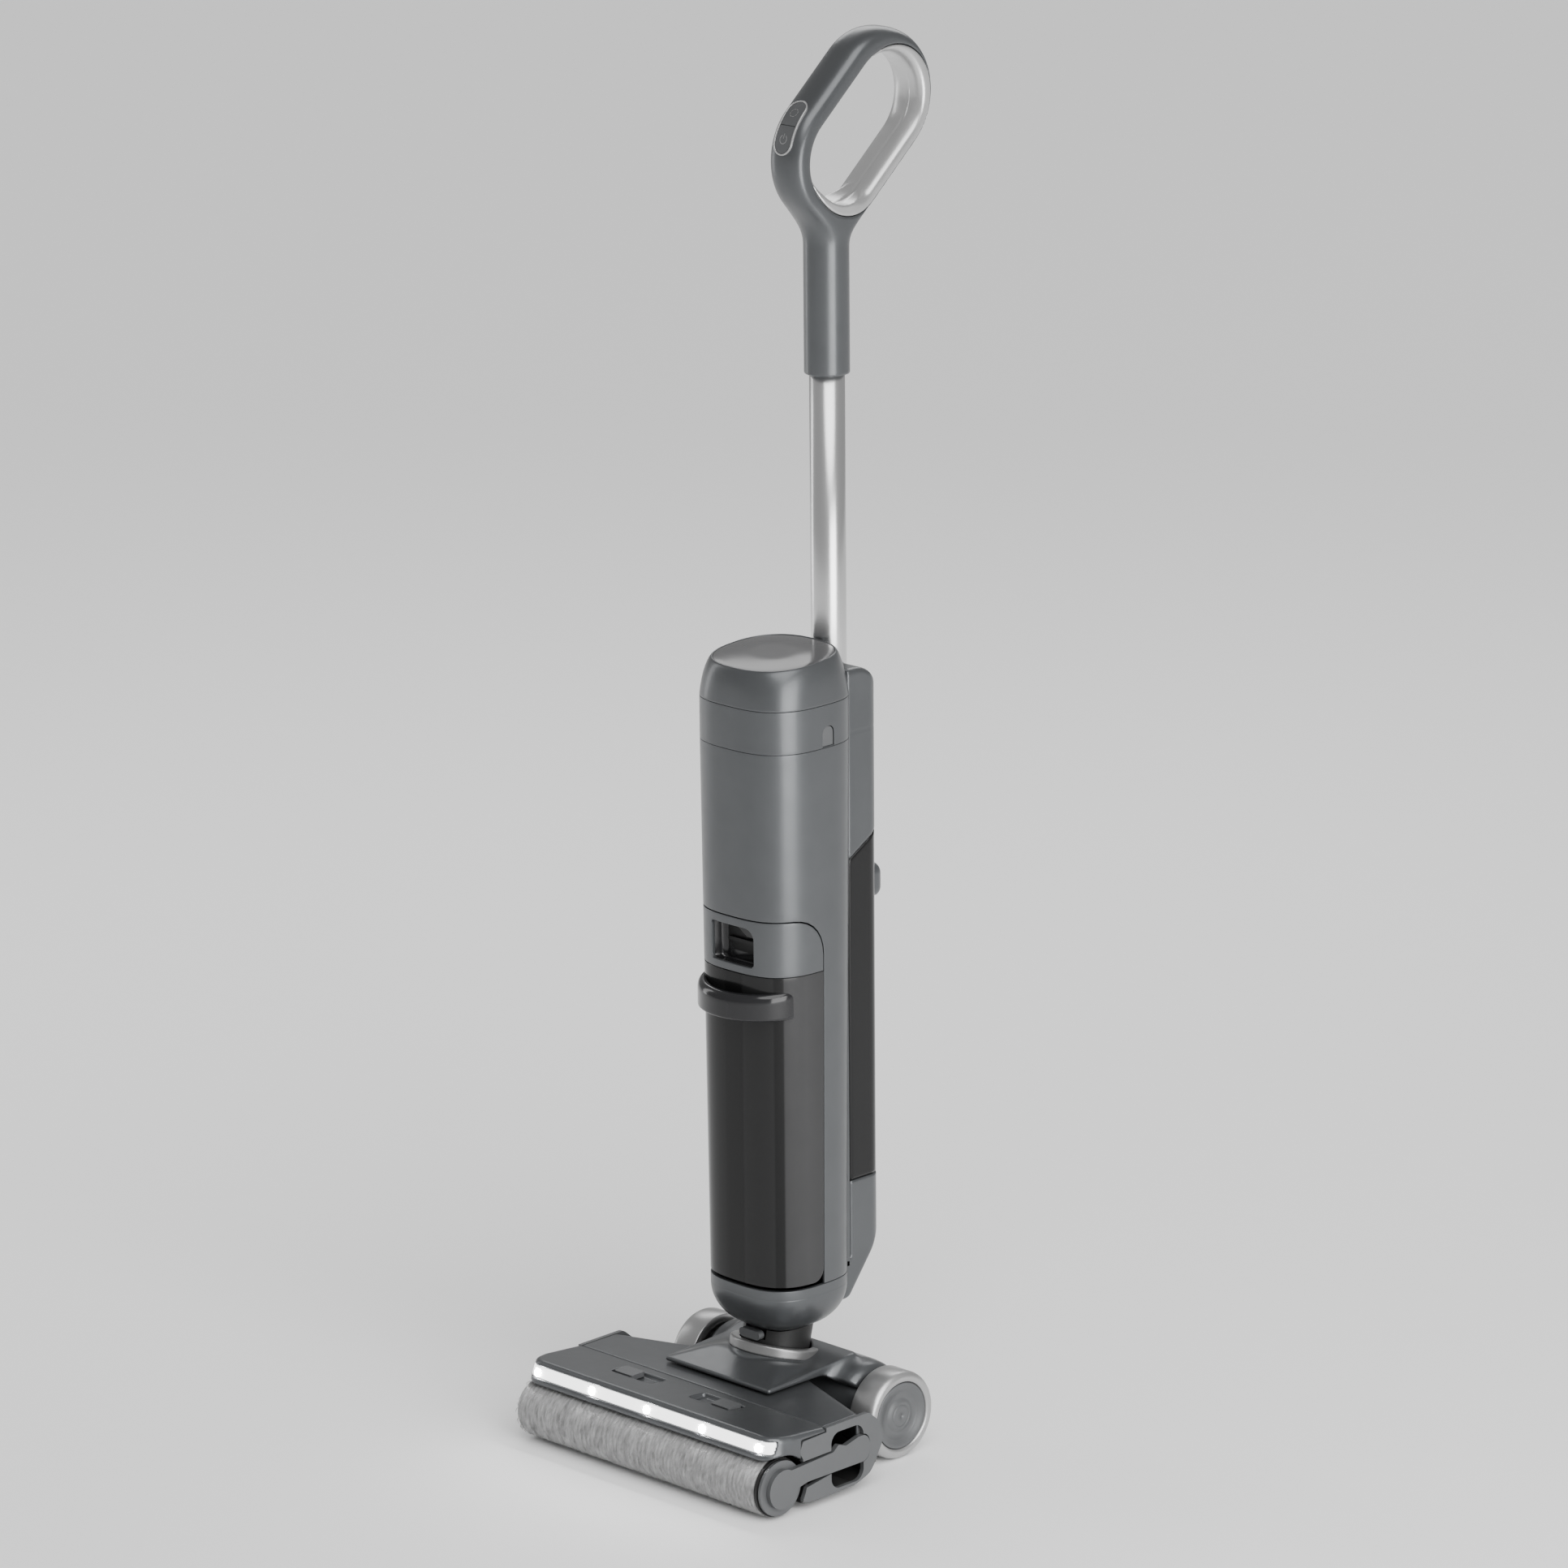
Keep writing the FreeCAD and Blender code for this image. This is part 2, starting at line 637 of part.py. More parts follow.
def build_yoke():
    half = size("yoke_half_width")
    barrel = size("barrel_half_width")
    plate = prism("yoke_plate", "YZ_Plane", 0, 2 * half,
                  [(-93, 63.6), (-93, 66.2), (-80, 74.5), (-34, 73.4), (-14, 68.0), (-10, 58), (-30, 57),
                   (-44, 63.6)], [0, 2, 8, 20, 8, 0, 0, 6], middle=True)
    shell = cylinder("barrel_outer_radius", 2 * barrel, V(-barrel, 0, AXLE_Z), X_AXIS)
    lower_cut = prism("yoke_cut", "YZ_Plane", 0, 400,
                      [(0, AXLE_Z), (-60, AXLE_Z + 62), (-60, AXLE_Z - 60), (90, AXLE_Z - 60),
                       (90, AXLE_Z - 32.8)], 0, middle=True)
    arc = cut(shell, lower_cut)
    cone_part = cone(44.0, 36.0, 11.0, collar_point(-13), COLLAR_AXIS)
    bore = cylinder(size("neck_radius") + 0.5, 60.0, collar_point(-30), COLLAR_AXIS)
    cavity = cylinder(30.0, 34.0, collar_point(-42), COLLAR_AXIS)
    core = cylinder("barrel_inner_radius", 2 * barrel + 2, V(-barrel - 1, 0, AXLE_Z), X_AXIS)
    underside = box(V(-120, -130, 30), V(120, -40, 63.6))
    solid = cut(cut(cut(cut(fuse(plate, arc, cone_part), core), bore), cavity), underside)
    ring_seat = cylinder(size("collar_radius") + 12, 30.0, collar_point(-2.0), COLLAR_AXIS)
    sub_part(cut(solid, ring_seat), "yoke_shell")
    ring = tube("collar_radius", size("neck_radius") + 0.5, 6.5, collar_point(-2.0), COLLAR_AXIS)
    sub_part(ring, "collar_ring")


# ---- upright ----

def build_neck(bowl):
    stem = cylinder("neck_radius", 40.0, collar_point(-6.5), COLLAR_AXIS)
    flange = cylinder(29.4, 3.0, collar_point(-11.5), COLLAR_AXIS)
    throat = cylinder(27.0, 2.2, collar_point(-8.6), COLLAR_AXIS)
    spout = cylinder(16.0, 16.0, collar_point(-26), COLLAR_AXIS)
    bore = cylinder("neck_bore", 90.0, collar_point(-40), COLLAR_AXIS)
    top_cut = box(V(-60, -90, size("bowl_bottom_z") + 8), V(60, 60, 160))
    seat = box(V(-11.4, -70, 86.2), V(11.4, COLLAR.y - 18, 97.4))
    solid = cut(cut(cut(fuse(stem, flange, throat, spout), bore), top_cut), seat)
    sub_part(cut(solid, bowl), "neck")


def build_neck_button():
    block = box(V(-11, COLLAR.y - 28.6, 86.7), V(11, COLLAR.y - 23.0, 93.8))
    button = fillet_edges(block, 3.4, lambda e: abs(e.tangentAt(e.FirstParameter).y) > 0.9)
    sub_part(button, "neck_button")


def build_bowl():
    """Lower bowl of the upright: it closes the body's foot and sits on the neck."""
    low = size("bowl_bottom_z")
    high = size("bowl_top_z")
    body = body_block("lower_bowl", low, high)
    round_edges(body, 29.0, lambda edge: abs(edge.BoundBox.ZMax - low) < 0.01)
    for inset, floor in ((size("body_wall"), 25.0), (11.0, 9.0)):
        points, corner = body_section(high, inset)
        cut_outline(body, "XY_Plane", high, high - low - floor, points, corner)
    neck_hole = sketch_on(body, "XY_Plane", high)
    draw_circle(neck_hole, 0, -22.0, 13.0)
    pocket(body, neck_hole, 60.0)
    return sub_part(body, "lower_bowl")


def tank_side_points(gap):
    """Side outline of the bay that the dirty tank fills, grown by a gap."""
    back = size("tank_back_y") + gap
    return [(-100, size("tank_bottom_z") - gap), (back, size("tank_bottom_z") - gap),
            (back, size("tank_top_z") + gap), (-100, size("tank_top_z") + gap)]


def build_main_housing():
    """Grey body: full section above the tank, rear half beside it; hollow for the fan, battery and duct."""
    low = size("bowl_top_z") + 0.3
    high = size("shell_top_z")
    body = body_block("main_housing", low, high)
    spine = sketch_on(body, "XY_Plane", high)
    draw_rounded(spine, [(-SPINE_HALF, 6), (SPINE_HALF, 6), (SPINE_HALF, 22), (-SPINE_HALF, 22)], 0)
    pad(body, spine, high - low, back=True)
    cut_outline(body, "YZ_Plane", 0, 400, tank_side_points(0.5), [0, 0, 30.5, 0], middle=True)
    cut_outline(body, "XZ_Plane", -size("rear_front_y") + 0.4, 60,
                [(-90, 0), (90, 0), (90, 900), (-90, 900)])
    wall = size("body_wall")
    points, corner = body_section(high, wall)
    points = [(x, min(y, size("rear_front_y") - 3.4)) for x, y in points]
    upper = sketch_on(body, "XY_Plane", high)
    draw_rounded(upper, points, corner)
    pocket(body, upper, high - size("shell_bottom_z") - 3.0)
    lower = sketch_on(body, "XY_Plane", size("tank_top_z") - 8)
    half = size("body_half_width") - shrink(low) - wall
    draw_rounded(lower, rectangle_points(half, -18, 17.5), [2, 2, 25, 25])
    pocket(body, lower, size("tank_top_z") - 8 - size("bowl_top_z") - 6)
    pass_hole = sketch_on(body, "XY_Plane", size("shell_bottom_z") + 20)
    draw_circle(pass_hole, 0, 0, 12.0)
    pocket(body, pass_hole, 60.0)
    sub_part(body, "main_housing")


def build_band_and_lid():
    """Display band and top lid above the main housing."""
    wall = size("body_wall")
    for name, low, high, floor in (("display_band", size("band_bottom_z"), size("band_top_z"), 0),
                                   ("top_lid", size("lid_bottom_z"), size("lid_top_z"), 1)):
        body = new_body(name)
        sketch = sketch_on(body, "XY_Plane", low)
        points, corner = body_section(high)
        draw_rounded(sketch, points, corner)
        pad(body, sketch, high - low)
        cut_outline(body, "XZ_Plane", -size("rear_front_y") + 0.4, 60,
                    [(-90, 0), (90, 0), (90, 900), (-90, 900)])
        inner, inner_corner = body_section(high, wall)
        inner = [(x, min(y, size("rear_front_y") - 3.4)) for x, y in inner]
        depth = high - low if not floor else high - low - 4
        cut_outline(body, "XY_Plane", low, depth, inner, inner_corner, back=True)
        if not floor:
            arch = [(-23.3, 560), (-10.3, 560), (-10.3, 584.3), (-23.3, 584.3)]
            cut_outline(body, "YZ_Plane", 40.0, 30.0, arch, [0, 0, 6.2, 6.2], back=True)
        if floor:
            round_edges(body, 2.0, lambda edge, top=high: abs(edge.BoundBox.ZMin - top) < 0.01)
            lens_points, lens_corner = body_section(high, 6.0)
            lens_points = [(x, min(y, 12)) for x, y in lens_points]
            lens_radii = [lens_corner, lens_corner, 14, 14]
            cut_outline(body, "XY_Plane", high, "lens_thickness", lens_points, lens_radii)
        sub_part(body, name)
    lens_points, lens_corner = body_section(size("lid_top_z"), 6.15)
    lens_points = [(x, min(y, 11.85)) for x, y in lens_points]
    lens = prism("display_lens", "XY_Plane", size("lid_top_z") - size("lens_thickness"), "lens_thickness",
                 lens_points, [lens_corner, lens_corner, 13.85, 13.85])
    sub_part(lens, "display_lens")


def build_pole_release():
    """Arch-topped release plug on the right of the body, and the round boss behind it."""
    body = new_body("pole_release")
    sketch = sketch_on(body, "YZ_Plane", 45.0)
    draw_rounded(sketch, [(-23, 568.2), (-10.6, 568.2), (-10.6, 584), (-23, 584)], [0.5, 0.5, 5.9, 5.9])
    pad(body, sketch, 7.0)
    sub_part(body, "pole_release")


def build_dirty_tank():
    """Smoked tank with a grey frame over it."""
    low = size("tank_bottom_z")
    split = size("tank_split_z")
    top = size("tank_top_z")
    wall = size("body_wall")
    back = size("tank_back_y")
    behind = [(-90, back), (90, back), (90, 90), (-90, 90)]
    tank = body_block("dirty_tank", low, split - 0.2)
    cut_outline(tank, "XY_Plane", 600, 600, behind)
    points, corner = body_section(split, wall)
    points = [(x, min(y, back - wall)) for x, y in points]
    hollow = sketch_on(tank, "XY_Plane", split - 0.2)
    draw_rounded(hollow, points, [corner, corner, 4, 4])
    cavity = pocket(tank, hollow, split - low - wall)
    cavity.TaperAngle = -size("draft")
    inlet = sketch_on(tank, "XY_Plane", low + 10)
    draw_circle(inlet, 0, size("duct_y"), 9.0)
    pocket(tank, inlet, 60.0)
    sub_part(tank, "dirty_tank")
    frame = body_block("tank_frame", split + 0.1, top)
    cut_outline(frame, "XY_Plane", 600, 600, behind)
    corner_cut = sketch_on(frame, "YZ_Plane", 0)
    radius = 30.0
    corner_cut.addGeometry(Part.LineSegment(V(back - radius, top, 0), V(back + 5, top, 0)), False)
    corner_cut.addGeometry(Part.LineSegment(V(back + 5, top, 0), V(back + 5, top - radius, 0)), False)
    corner_cut.addGeometry(Part.LineSegment(V(back + 5, top - radius, 0), V(back, top - radius, 0)), False)
    diagonal = radius * math.sqrt(0.5)
    corner_cut.addGeometry(Part.Arc(V(back, top - radius, 0),
                                    V(back - radius + diagonal, top - radius + diagonal, 0),
                                    V(back - radius, top, 0)), False)
    pocket(frame, corner_cut, 400, middle=True)
    window = sketch_on(frame, "XZ_Plane", 50.0)
    draw_rounded(window, [(-23.4, 396.5), (23.4, 396.5), (23.4, 427), (-23.4, 427)], [3, 3, 9, 3])
    pocket(frame, window, 60.0, back=True)
    filter_bay = sketch_on(frame, "XY_Plane", split)
    draw_rounded(filter_bay, [(-36, -48), (36, -48), (36, -25), (-36, -25)], 0)
    pocket(frame, filter_bay, 10.0, back=True)
    sub_part(frame, "tank_frame")
    seal = prism("tank_seal", "XY_Plane", split - 4.4, 4.0, [(-34, -60), (34, -60), (34, -28), (-34, -28)], 6)
    cut_outline(seal, "XY_Plane", split + 5, 20, [(-31, -57), (31, -57), (31, -31), (-31, -31)], 4)
    sub_part(seal, "tank_seal")
    latch = prism("tank_latch", "XZ_Plane", 50.2, 7.0, [(-21, 402), (21, 402), (21, 421), (-21, 421)], 3)
    ridge = sketch_on(latch, "XZ_Plane", 57.2)
    draw_rounded(ridge, [(-15, 410), (15, 410), (15, 413), (-15, 413)], 1)
    pad(latch, ridge, 3.0)
    sub_part(latch, "tank_latch")


def build_tank_grip():
    """Glossy bridge grip across the front of the dirty tank."""
    body = new_body("grip")
    sketch = sketch_on(body, "XY_Plane", 361.0)
    draw_rounded(sketch, [(-50, -49), (-29, -88), (29, -88), (50, -49)], [0, 26, 26, 0])
    pad(body, sketch, 23.0)
    cut_outline(body, "XY_Plane", 420.0, 100.0,
                [(-44, -46), (-24, -82.6), (24, -82.6), (44, -46)], [0, 20, 20, 0])
    wall_side = body_block("grip_tool", 350.0, 388.0, -0.05)
    sub_part(cut(body, wall_side), "tank_grip")


def build_separator():
    """Riser inside the dirty tank with its splash hood, the float around it and the filter over it."""
    depth = size("duct_y")
    low = size("tank_bottom_z")
    riser = tube(8.9, 7.6, 190.0, V(0, depth, low + 0.1))
    hood = cone(13.0, 4.0, 12.0, V(0, depth, low + 200))
    legs = [cylinder(1.2, 14.0, V(8.2 * math.cos(a), depth + 8.2 * math.sin(a), low + 188))
            for a in (0.5, 2.6, 4.7)]
    stop = tube(11.0, 8.5, 3.0, V(0, depth, low + 146.8))
    sub_part(fuse(riser, hood, stop, *legs), "separator_tube")
    sub_part(tube(14.0, 9.6, 16.0, V(0, depth, low + 150)), "tank_float")
    sub_part(box(V(-35.6, -47.6, size("tank_split_z") + 0.3), V(35.6, -25.4, size("tank_split_z") + 9.7)),
             "tank_filter")


# ---- rear module ----

def rear_section(inset=0.0, corner=None):
    half = size("rear_half_width") - inset
    points = [(-half, size("rear_front_y") + inset), (half, size("rear_front_y") + inset),
              (half, size("rear_back_y") - inset), (-half, size("rear_back_y") - inset)]
    radius = size("rear_corner") - inset
    return points, [0 if inset == 0 else 2, 0 if inset == 0 else 2, radius, radius]


def rear_block(name, side_points, side_radii=0.0):
    """A block with the rear module's plan and a side outline."""
    low = min(z for _, z in side_points) - 1
    high = max(z for _, z in side_points) + 1
    body = new_body(name)
    sketch = sketch_on(body, "XY_Plane", low)
    draw_rounded(sketch, *rear_section())
    pad(body, sketch, high - low)
    side = prism(name + "_side", "YZ_Plane", 0, 200, side_points, side_radii, middle=True)
    return common(body, side)


def build_rear_module():
    front = size("rear_front_y")
    back = size("rear_back_y")
    slope = (size("clean_top_outer_z") - size("clean_top_inner_z")) / (back - front)
    inner_top = size("clean_top_inner_z")
    outer_top = size("clean_top_outer_z")
    hood_side = [(front - 1, inner_top - slope + 0.5), (back + 1, outer_top + slope + 0.5),
                 (back + 1, size("rear_top_outer_z")), (back - 12, size("rear_top_inner_z") - 4),
                 (front - 1, size("rear_top_inner_z"))]
    housing = rear_block("rear_housing", hood_side, [0, 0, 12, 8, 0])
    socket_hole = cylinder(15.0, 200.0, V(0, POLE_Y, size("pole_bottom_z") - 8))
    room = box(V(-31, front + 2.4, 492), V(31, back - 3, 508))
    socket = cut(cylinder(15.5, 90.0, V(0, POLE_Y, size("pole_bottom_z") - 7)),
                 cylinder(size("pole_radius") + 0.06, 84.0, V(0, POLE_Y, size("pole_bottom_z"))))
    sub_part(fuse(cut(cut(housing, socket_hole), room), socket), "rear_housing")
    foot = size("rear_base_z") + 2.6
    valve_joint = size("clean_bottom_z") - 0.5
    base = rear_block("rear_base", [(front - 1, foot), (front + 10, foot), (back - 1, 154), (back + 1, 158),
                                    (back + 1, valve_joint), (front - 1, valve_joint)], [0, 3, 6, 0, 0, 0])
    base = cut(base, body_block("bowl_clearance", 110.0, size("bowl_top_z") + 0.5, -0.1))
    pump_room = box(V(-30, front + 2.6, 158), V(30, back - 3, 196))
    valve_hole = cylinder(6.2, 20.0, V(0, 42, 190))
    pins = fuse(*[cylinder(2.0, 4.0, V(x, back - 3.4, 172), Y_AXIS) for x in (-8, 8)])
    sub_part(cut(cut(cut(base, pump_room), valve_hole), pins), "rear_base")
    sub_part(pins, "charging_contacts")
    tank = rear_block("clean_tank", [(front - 1, size("clean_bottom_z")), (back + 1, size("clean_bottom_z")),
                                     (back + 1, outer_top + slope), (front - 1, inner_top - slope)])
    wall = 2.4
    inner = new_body("clean_space")
    sketch = sketch_on(inner, "XY_Plane", size("clean_bottom_z") + wall)
    draw_rounded(sketch, *rear_section(wall))
    pad(inner, sketch, inner_top - size("clean_bottom_z") - 2 * wall - 4)
    hole = cylinder(5.0, 20.0, V(0, 42, size("clean_bottom_z") - 5))
    filler = cylinder(9.0, 60.0, V(0, 42, inner_top - 20))
    sub_part(cut(cut(cut(tank, inner), hole), filler), "clean_tank")
    sub_part(fuse(cylinder(8.9, 8.0, V(0, 42, inner_top - 9)), cylinder(3.0, 3.0, V(0, 42, inner_top - 1.2))),
             "clean_tank_cap")
    sub_part(fuse(cylinder(4.9, 5.0, V(0, 42, size("clean_bottom_z") + 0.1)),
                  cylinder(7.5, 2.4, V(0, 42, size("clean_bottom_z") + 2.6))), "tank_valve")
    grip = new_body("clean_grip")
    outline = sketch_on(grip, "XY_Plane", 419.0)
    draw_rounded(outline, [(-24, back), (-18, 74), (18, 74), (24, back)], [0, 9, 9, 0])
    pad(grip, outline, 29.0)
    hollow = [(50, 410), (80, 410), (65, 421), (60, 440), (50, 440)]
    cut_outline(grip, "YZ_Plane", 0, 60, hollow, [0, 0, 6, 3, 0], middle=True)
    sub_part(grip, "clean_tank_grip")
    sub_part(box(V(-26, front + 4, 162), V(-2, back - 6, 186)), "water_pump")


# ---- inside the upright ----

def build_internals():
    fan_z = 440.0
    housing = tube(40.0, 36.0, 22.0, V(0, BODY_Y, fan_z))
    sub_part(housing, "fan_housing")
    hub = cylinder(10.0, 12.0, V(0, BODY_Y, fan_z + 4))
    disc = cylinder(34.0, 2.0, V(0, BODY_Y, fan_z + 3))
    vanes = []
    for i in range(9):
        vane = doc.addObject("Part::Box", "Vane")
        vane.Length, vane.Width, vane.Height = 22.0, 1.4, 9.0
        turn = FreeCAD.Rotation(Z_AXIS, 40 * i + 25)
        spot = FreeCAD.Rotation(Z_AXIS, 40 * i).multVec(V(9, 0, 0))
        vane.Placement = place(V(spot.x, BODY_Y + spot.y, fan_z + 4.5), turn)
        vanes.append(vane)
    bore = cylinder(2.5, 40.0, V(0, BODY_Y, fan_z - 5))
    sub_part(cut(fuse(hub, disc, *vanes), bore), "fan_wheel")
    motor = fuse(cylinder(24.0, 34.0, V(0, BODY_Y, fan_z + 22.4)),
                 cylinder(2.4, 16.0, V(0, BODY_Y, fan_z + 6.6)))
    sub_part(motor, "suction_motor")
    cell_radius = 10.6
    cells = [cylinder(cell_radius, 62.0, V(x, BODY_Y + y, 499.5)) for x in (-32.5, -10.9, 10.9, 32.5)
             for y in (-16, 6)]
    sub_part(fuse(*cells), "battery_cells")
    sub_part(box(V(-44, BODY_Y - 28, 562), V(44, BODY_Y + 18, 563.8)), "main_board")
    sub_part(tube(9.5, 8.0, 283.0, V(0, 0, size("bowl_top_z") + 7)), "air_duct")


# ---- pole and handle ----

def build_pole():
    length = size("pole_top_z") - size("pole_bottom_z")
    pole = tube("pole_radius", 12.0, length, V(0, POLE_Y, size("pole_bottom_z") + 0.2))
    sub_part(pole, "pole_tube")
    sleeve_low = size("sleeve_bottom_z")
    sleeve = new_body("grip_sleeve")
    sleeve.Placement = place(V(0, POLE_Y, 0))
    outline = sketch_on(sleeve, "XY_Plane", sleeve_low)
    draw_circle(outline, 0, 0, "sleeve_radius")
    pad(sleeve, outline, size("sleeve_top_z") - sleeve_low)
    hole = sketch_on(sleeve, "XY_Plane", sleeve_low)
    draw_circle(hole, 0, 0, "pole_radius")
    pocket(sleeve, hole, size("pole_top_z") - sleeve_low + 1, back=True)
    sub_part(sleeve, "grip_sleeve")


def stadium(sketch, radius):
    """Outline of the loop at a radius about its two end centres."""
    low = V(size("loop_low_y"), size("loop_low_z"), 0)
    high = V(size("loop_high_y"), size("loop_high_z"), 0)
    lean = high.sub(low)
    lean.normalize()
    side = V(-lean.y, lean.x, 0) * radius
    cap = lean * radius
    sketch.addGeometry(Part.Arc(low.add(side), low.sub(cap), low.sub(side)), False)
    sketch.addGeometry(Part.LineSegment(low.sub(side), high.sub(side)), False)
    sketch.addGeometry(Part.Arc(high.sub(side), high.add(cap), high.add(side)), False)
    sketch.addGeometry(Part.LineSegment(high.add(side), low.add(side)), False)


def loop_ring(name, outer, inner, half_width):
    body = new_body(name)
    sketch = sketch_on(body, "YZ_Plane", 0)
    stadium(sketch, outer)
    stadium(sketch, inner)
    pad(body, sketch, 2 * half_width, middle=True)
    return body


def build_handle():
    radius = size("loop_radius")
    thick = size("loop_half_thickness")
    half = size("loop_half_width")
    outer = radius + thick
    inner = radius - thick
    loop = loop_ring("loop_shell", outer, inner + 3.0, half)
    round_edges(loop, 8.0, lambda edge: abs(abs(edge.CenterOfMass.x) - half) < 0.01 and is_outer(edge, outer))
    neck = new_body("loop_neck")
    sketch = sketch_on(neck, "YZ_Plane", 0)
    flare = [(POLE_Y - 17.6, 945), (POLE_Y + 17.6, 945), (POLE_Y + 17.6, 958), (74, 985), (45, 1000),
             (2, 985), (POLE_Y - 17.6, 958)]
    draw_rounded(sketch, flare, [0, 0, 14, 0, 0, 0, 14])
    pad(neck, sketch, 28.0, middle=True)
    opening = new_body("loop_opening")
    hole = sketch_on(opening, "YZ_Plane", 0)
    stadium(hole, inner + 3.0)
    pad(opening, hole, 80.0, middle=True)
    sleeve_room = cylinder(size("sleeve_radius"), size("sleeve_top_z") - 900, V(0, POLE_Y, 900))
    pad_room = loop_sector("pad_room", outer - 9.2, outer + 9, 120.6, 174.4, 8.8)
    shell = cut(cut(cut(fuse(loop, neck), opening), sleeve_room), pad_room)
    sub_part(shell, "handle_shell")
    liner = loop_ring("handle_liner", inner + 3.0, inner, half - 1.5)
    sub_part(liner, "handle_liner")


def is_outer(edge, outer):
    """Whether an edge of the loop lies on its outer outline."""
    middle = edge.valueAt((edge.FirstParameter + edge.LastParameter) / 2)
    low = V(0, size("loop_low_y"), size("loop_low_z"))
    high = V(0, size("loop_high_y"), size("loop_high_z"))
    spot = V(0, middle.y, middle.z)
    lean = high.sub(low)
    share = max(0.0, min(1.0, spot.sub(low).dot(lean) / lean.dot(lean)))
    return spot.distanceToPoint(low.add(lean * share)) > outer - 1


def loop_sector(name, low_radius, high_radius, low_angle, high_angle, half_width):
    """A curved block of the loop's lower bend, between two radii and two angles from +Y."""
    centre = V(size("loop_low_y"), size("loop_low_z"), 0)
    body = new_body(name)
    sketch = sketch_on(body, "YZ_Plane", 0)
    angles = [math.radians(a) for a in (low_angle, (low_angle + high_angle) / 2, high_angle)]
    rims = [[centre.add(V(math.cos(a), math.sin(a), 0) * radius) for a in angles]
            for radius in (low_radius, high_radius)]
    for rim in rims:
        sketch.addGeometry(Part.Arc(*rim), False)
    sketch.addGeometry(Part.LineSegment(rims[0][0], rims[1][0]), False)
    sketch.addGeometry(Part.LineSegment(rims[0][2], rims[1][2]), False)
    pad(body, sketch, 2 * half_width, middle=True)
    return body


def build_buttons():
    """Pill-shaped pad with two push buttons."""
    surface = size("loop_radius") + size("loop_half_thickness")
    bezel = loop_sector("bezel", surface - 7, surface + 0.5, 121, 174, 8.5)
    window = loop_sector("bezel_window", surface - 12, surface + 5, 123.2, 171.8, 6.8)
    sub_part(cut(bezel, window), "button_bezel")
    for name, low, high in (("mode_button", 123.9, 147.1), ("power_button", 147.9, 171.1)):
        sub_part(loop_sector(name, surface - 4.5, surface + 0.9, low, high, 6.5), name)


def build_all():
    build_side_plates(build_motor_mount())
    build_drive()
    build_roller()
    build_roller_arm()
    build_axle_housing(build_chassis())
    build_rear_shell()
    build_cover()
    build_latches()
    build_scraper()
    build_suction_duct()
    build_wheels()
    build_yoke()
    build_neck(build_bowl())
    build_neck_button()
    build_main_housing()
    build_band_and_lid()
    build_pole_release()
    build_dirty_tank()
    build_tank_grip()
    build_separator()
    build_rear_module()
    build_internals()
    build_pole()
    build_handle()
    build_buttons()


def check_and_write():
    """Stop on a failed feature or a bad shape, then write each sub-part to its own file."""
    doc.recompute()
    failed = [thing.Name for thing in doc.Objects if {"Invalid", "Error"} & set(thing.State)]
    if failed:
        raise SystemExit("failed features: " + ", ".join(failed))
    for thing in SUB_PARTS:
        shape = thing.Shape
        if shape.isNull() or not shape.isValid() or shape.Volume < 1.0:
            raise SystemExit("bad shape: " + thing.Label)
    os.makedirs("parts", exist_ok=True)
    whole = FreeCAD.BoundBox()
    for thing in SUB_PARTS:
        thing.Shape.exportStep(f"parts/{thing.Label}.step")
        box_of = thing.Shape.optimalBoundingBox(False, False)
        whole.add(box_of)
        print(f"{thing.Label:22s} {len(thing.Shape.Solids)} {thing.Shape.Volume / 1000:9.2f} cm3 "
              f"x {box_of.XMin:7.1f} {box_of.XMax:7.1f} "
              f"y {box_of.YMin - AXLE_Y:7.1f} {box_of.YMax - AXLE_Y:7.1f} "
              f"z {box_of.ZMin:7.1f} {box_of.ZMax:7.1f}")
    print(len(SUB_PARTS), "sub-parts; whole", whole)


build_all()
check_and_write()
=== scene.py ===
"""Looks of a wet dry floor scrubber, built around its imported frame.

Lengths here are millimetres along the frame's own directions: +X right, -Y front, +Z up. Depths are
counted from the wheel axle and heights from the floor; metres() turns such a point into the frame's metres.
"""
import json
import math
import random

import bpy
import numpy as np
from mathutils import Matrix, Vector
from mathutils.geometry import delaunay_2d_cdt


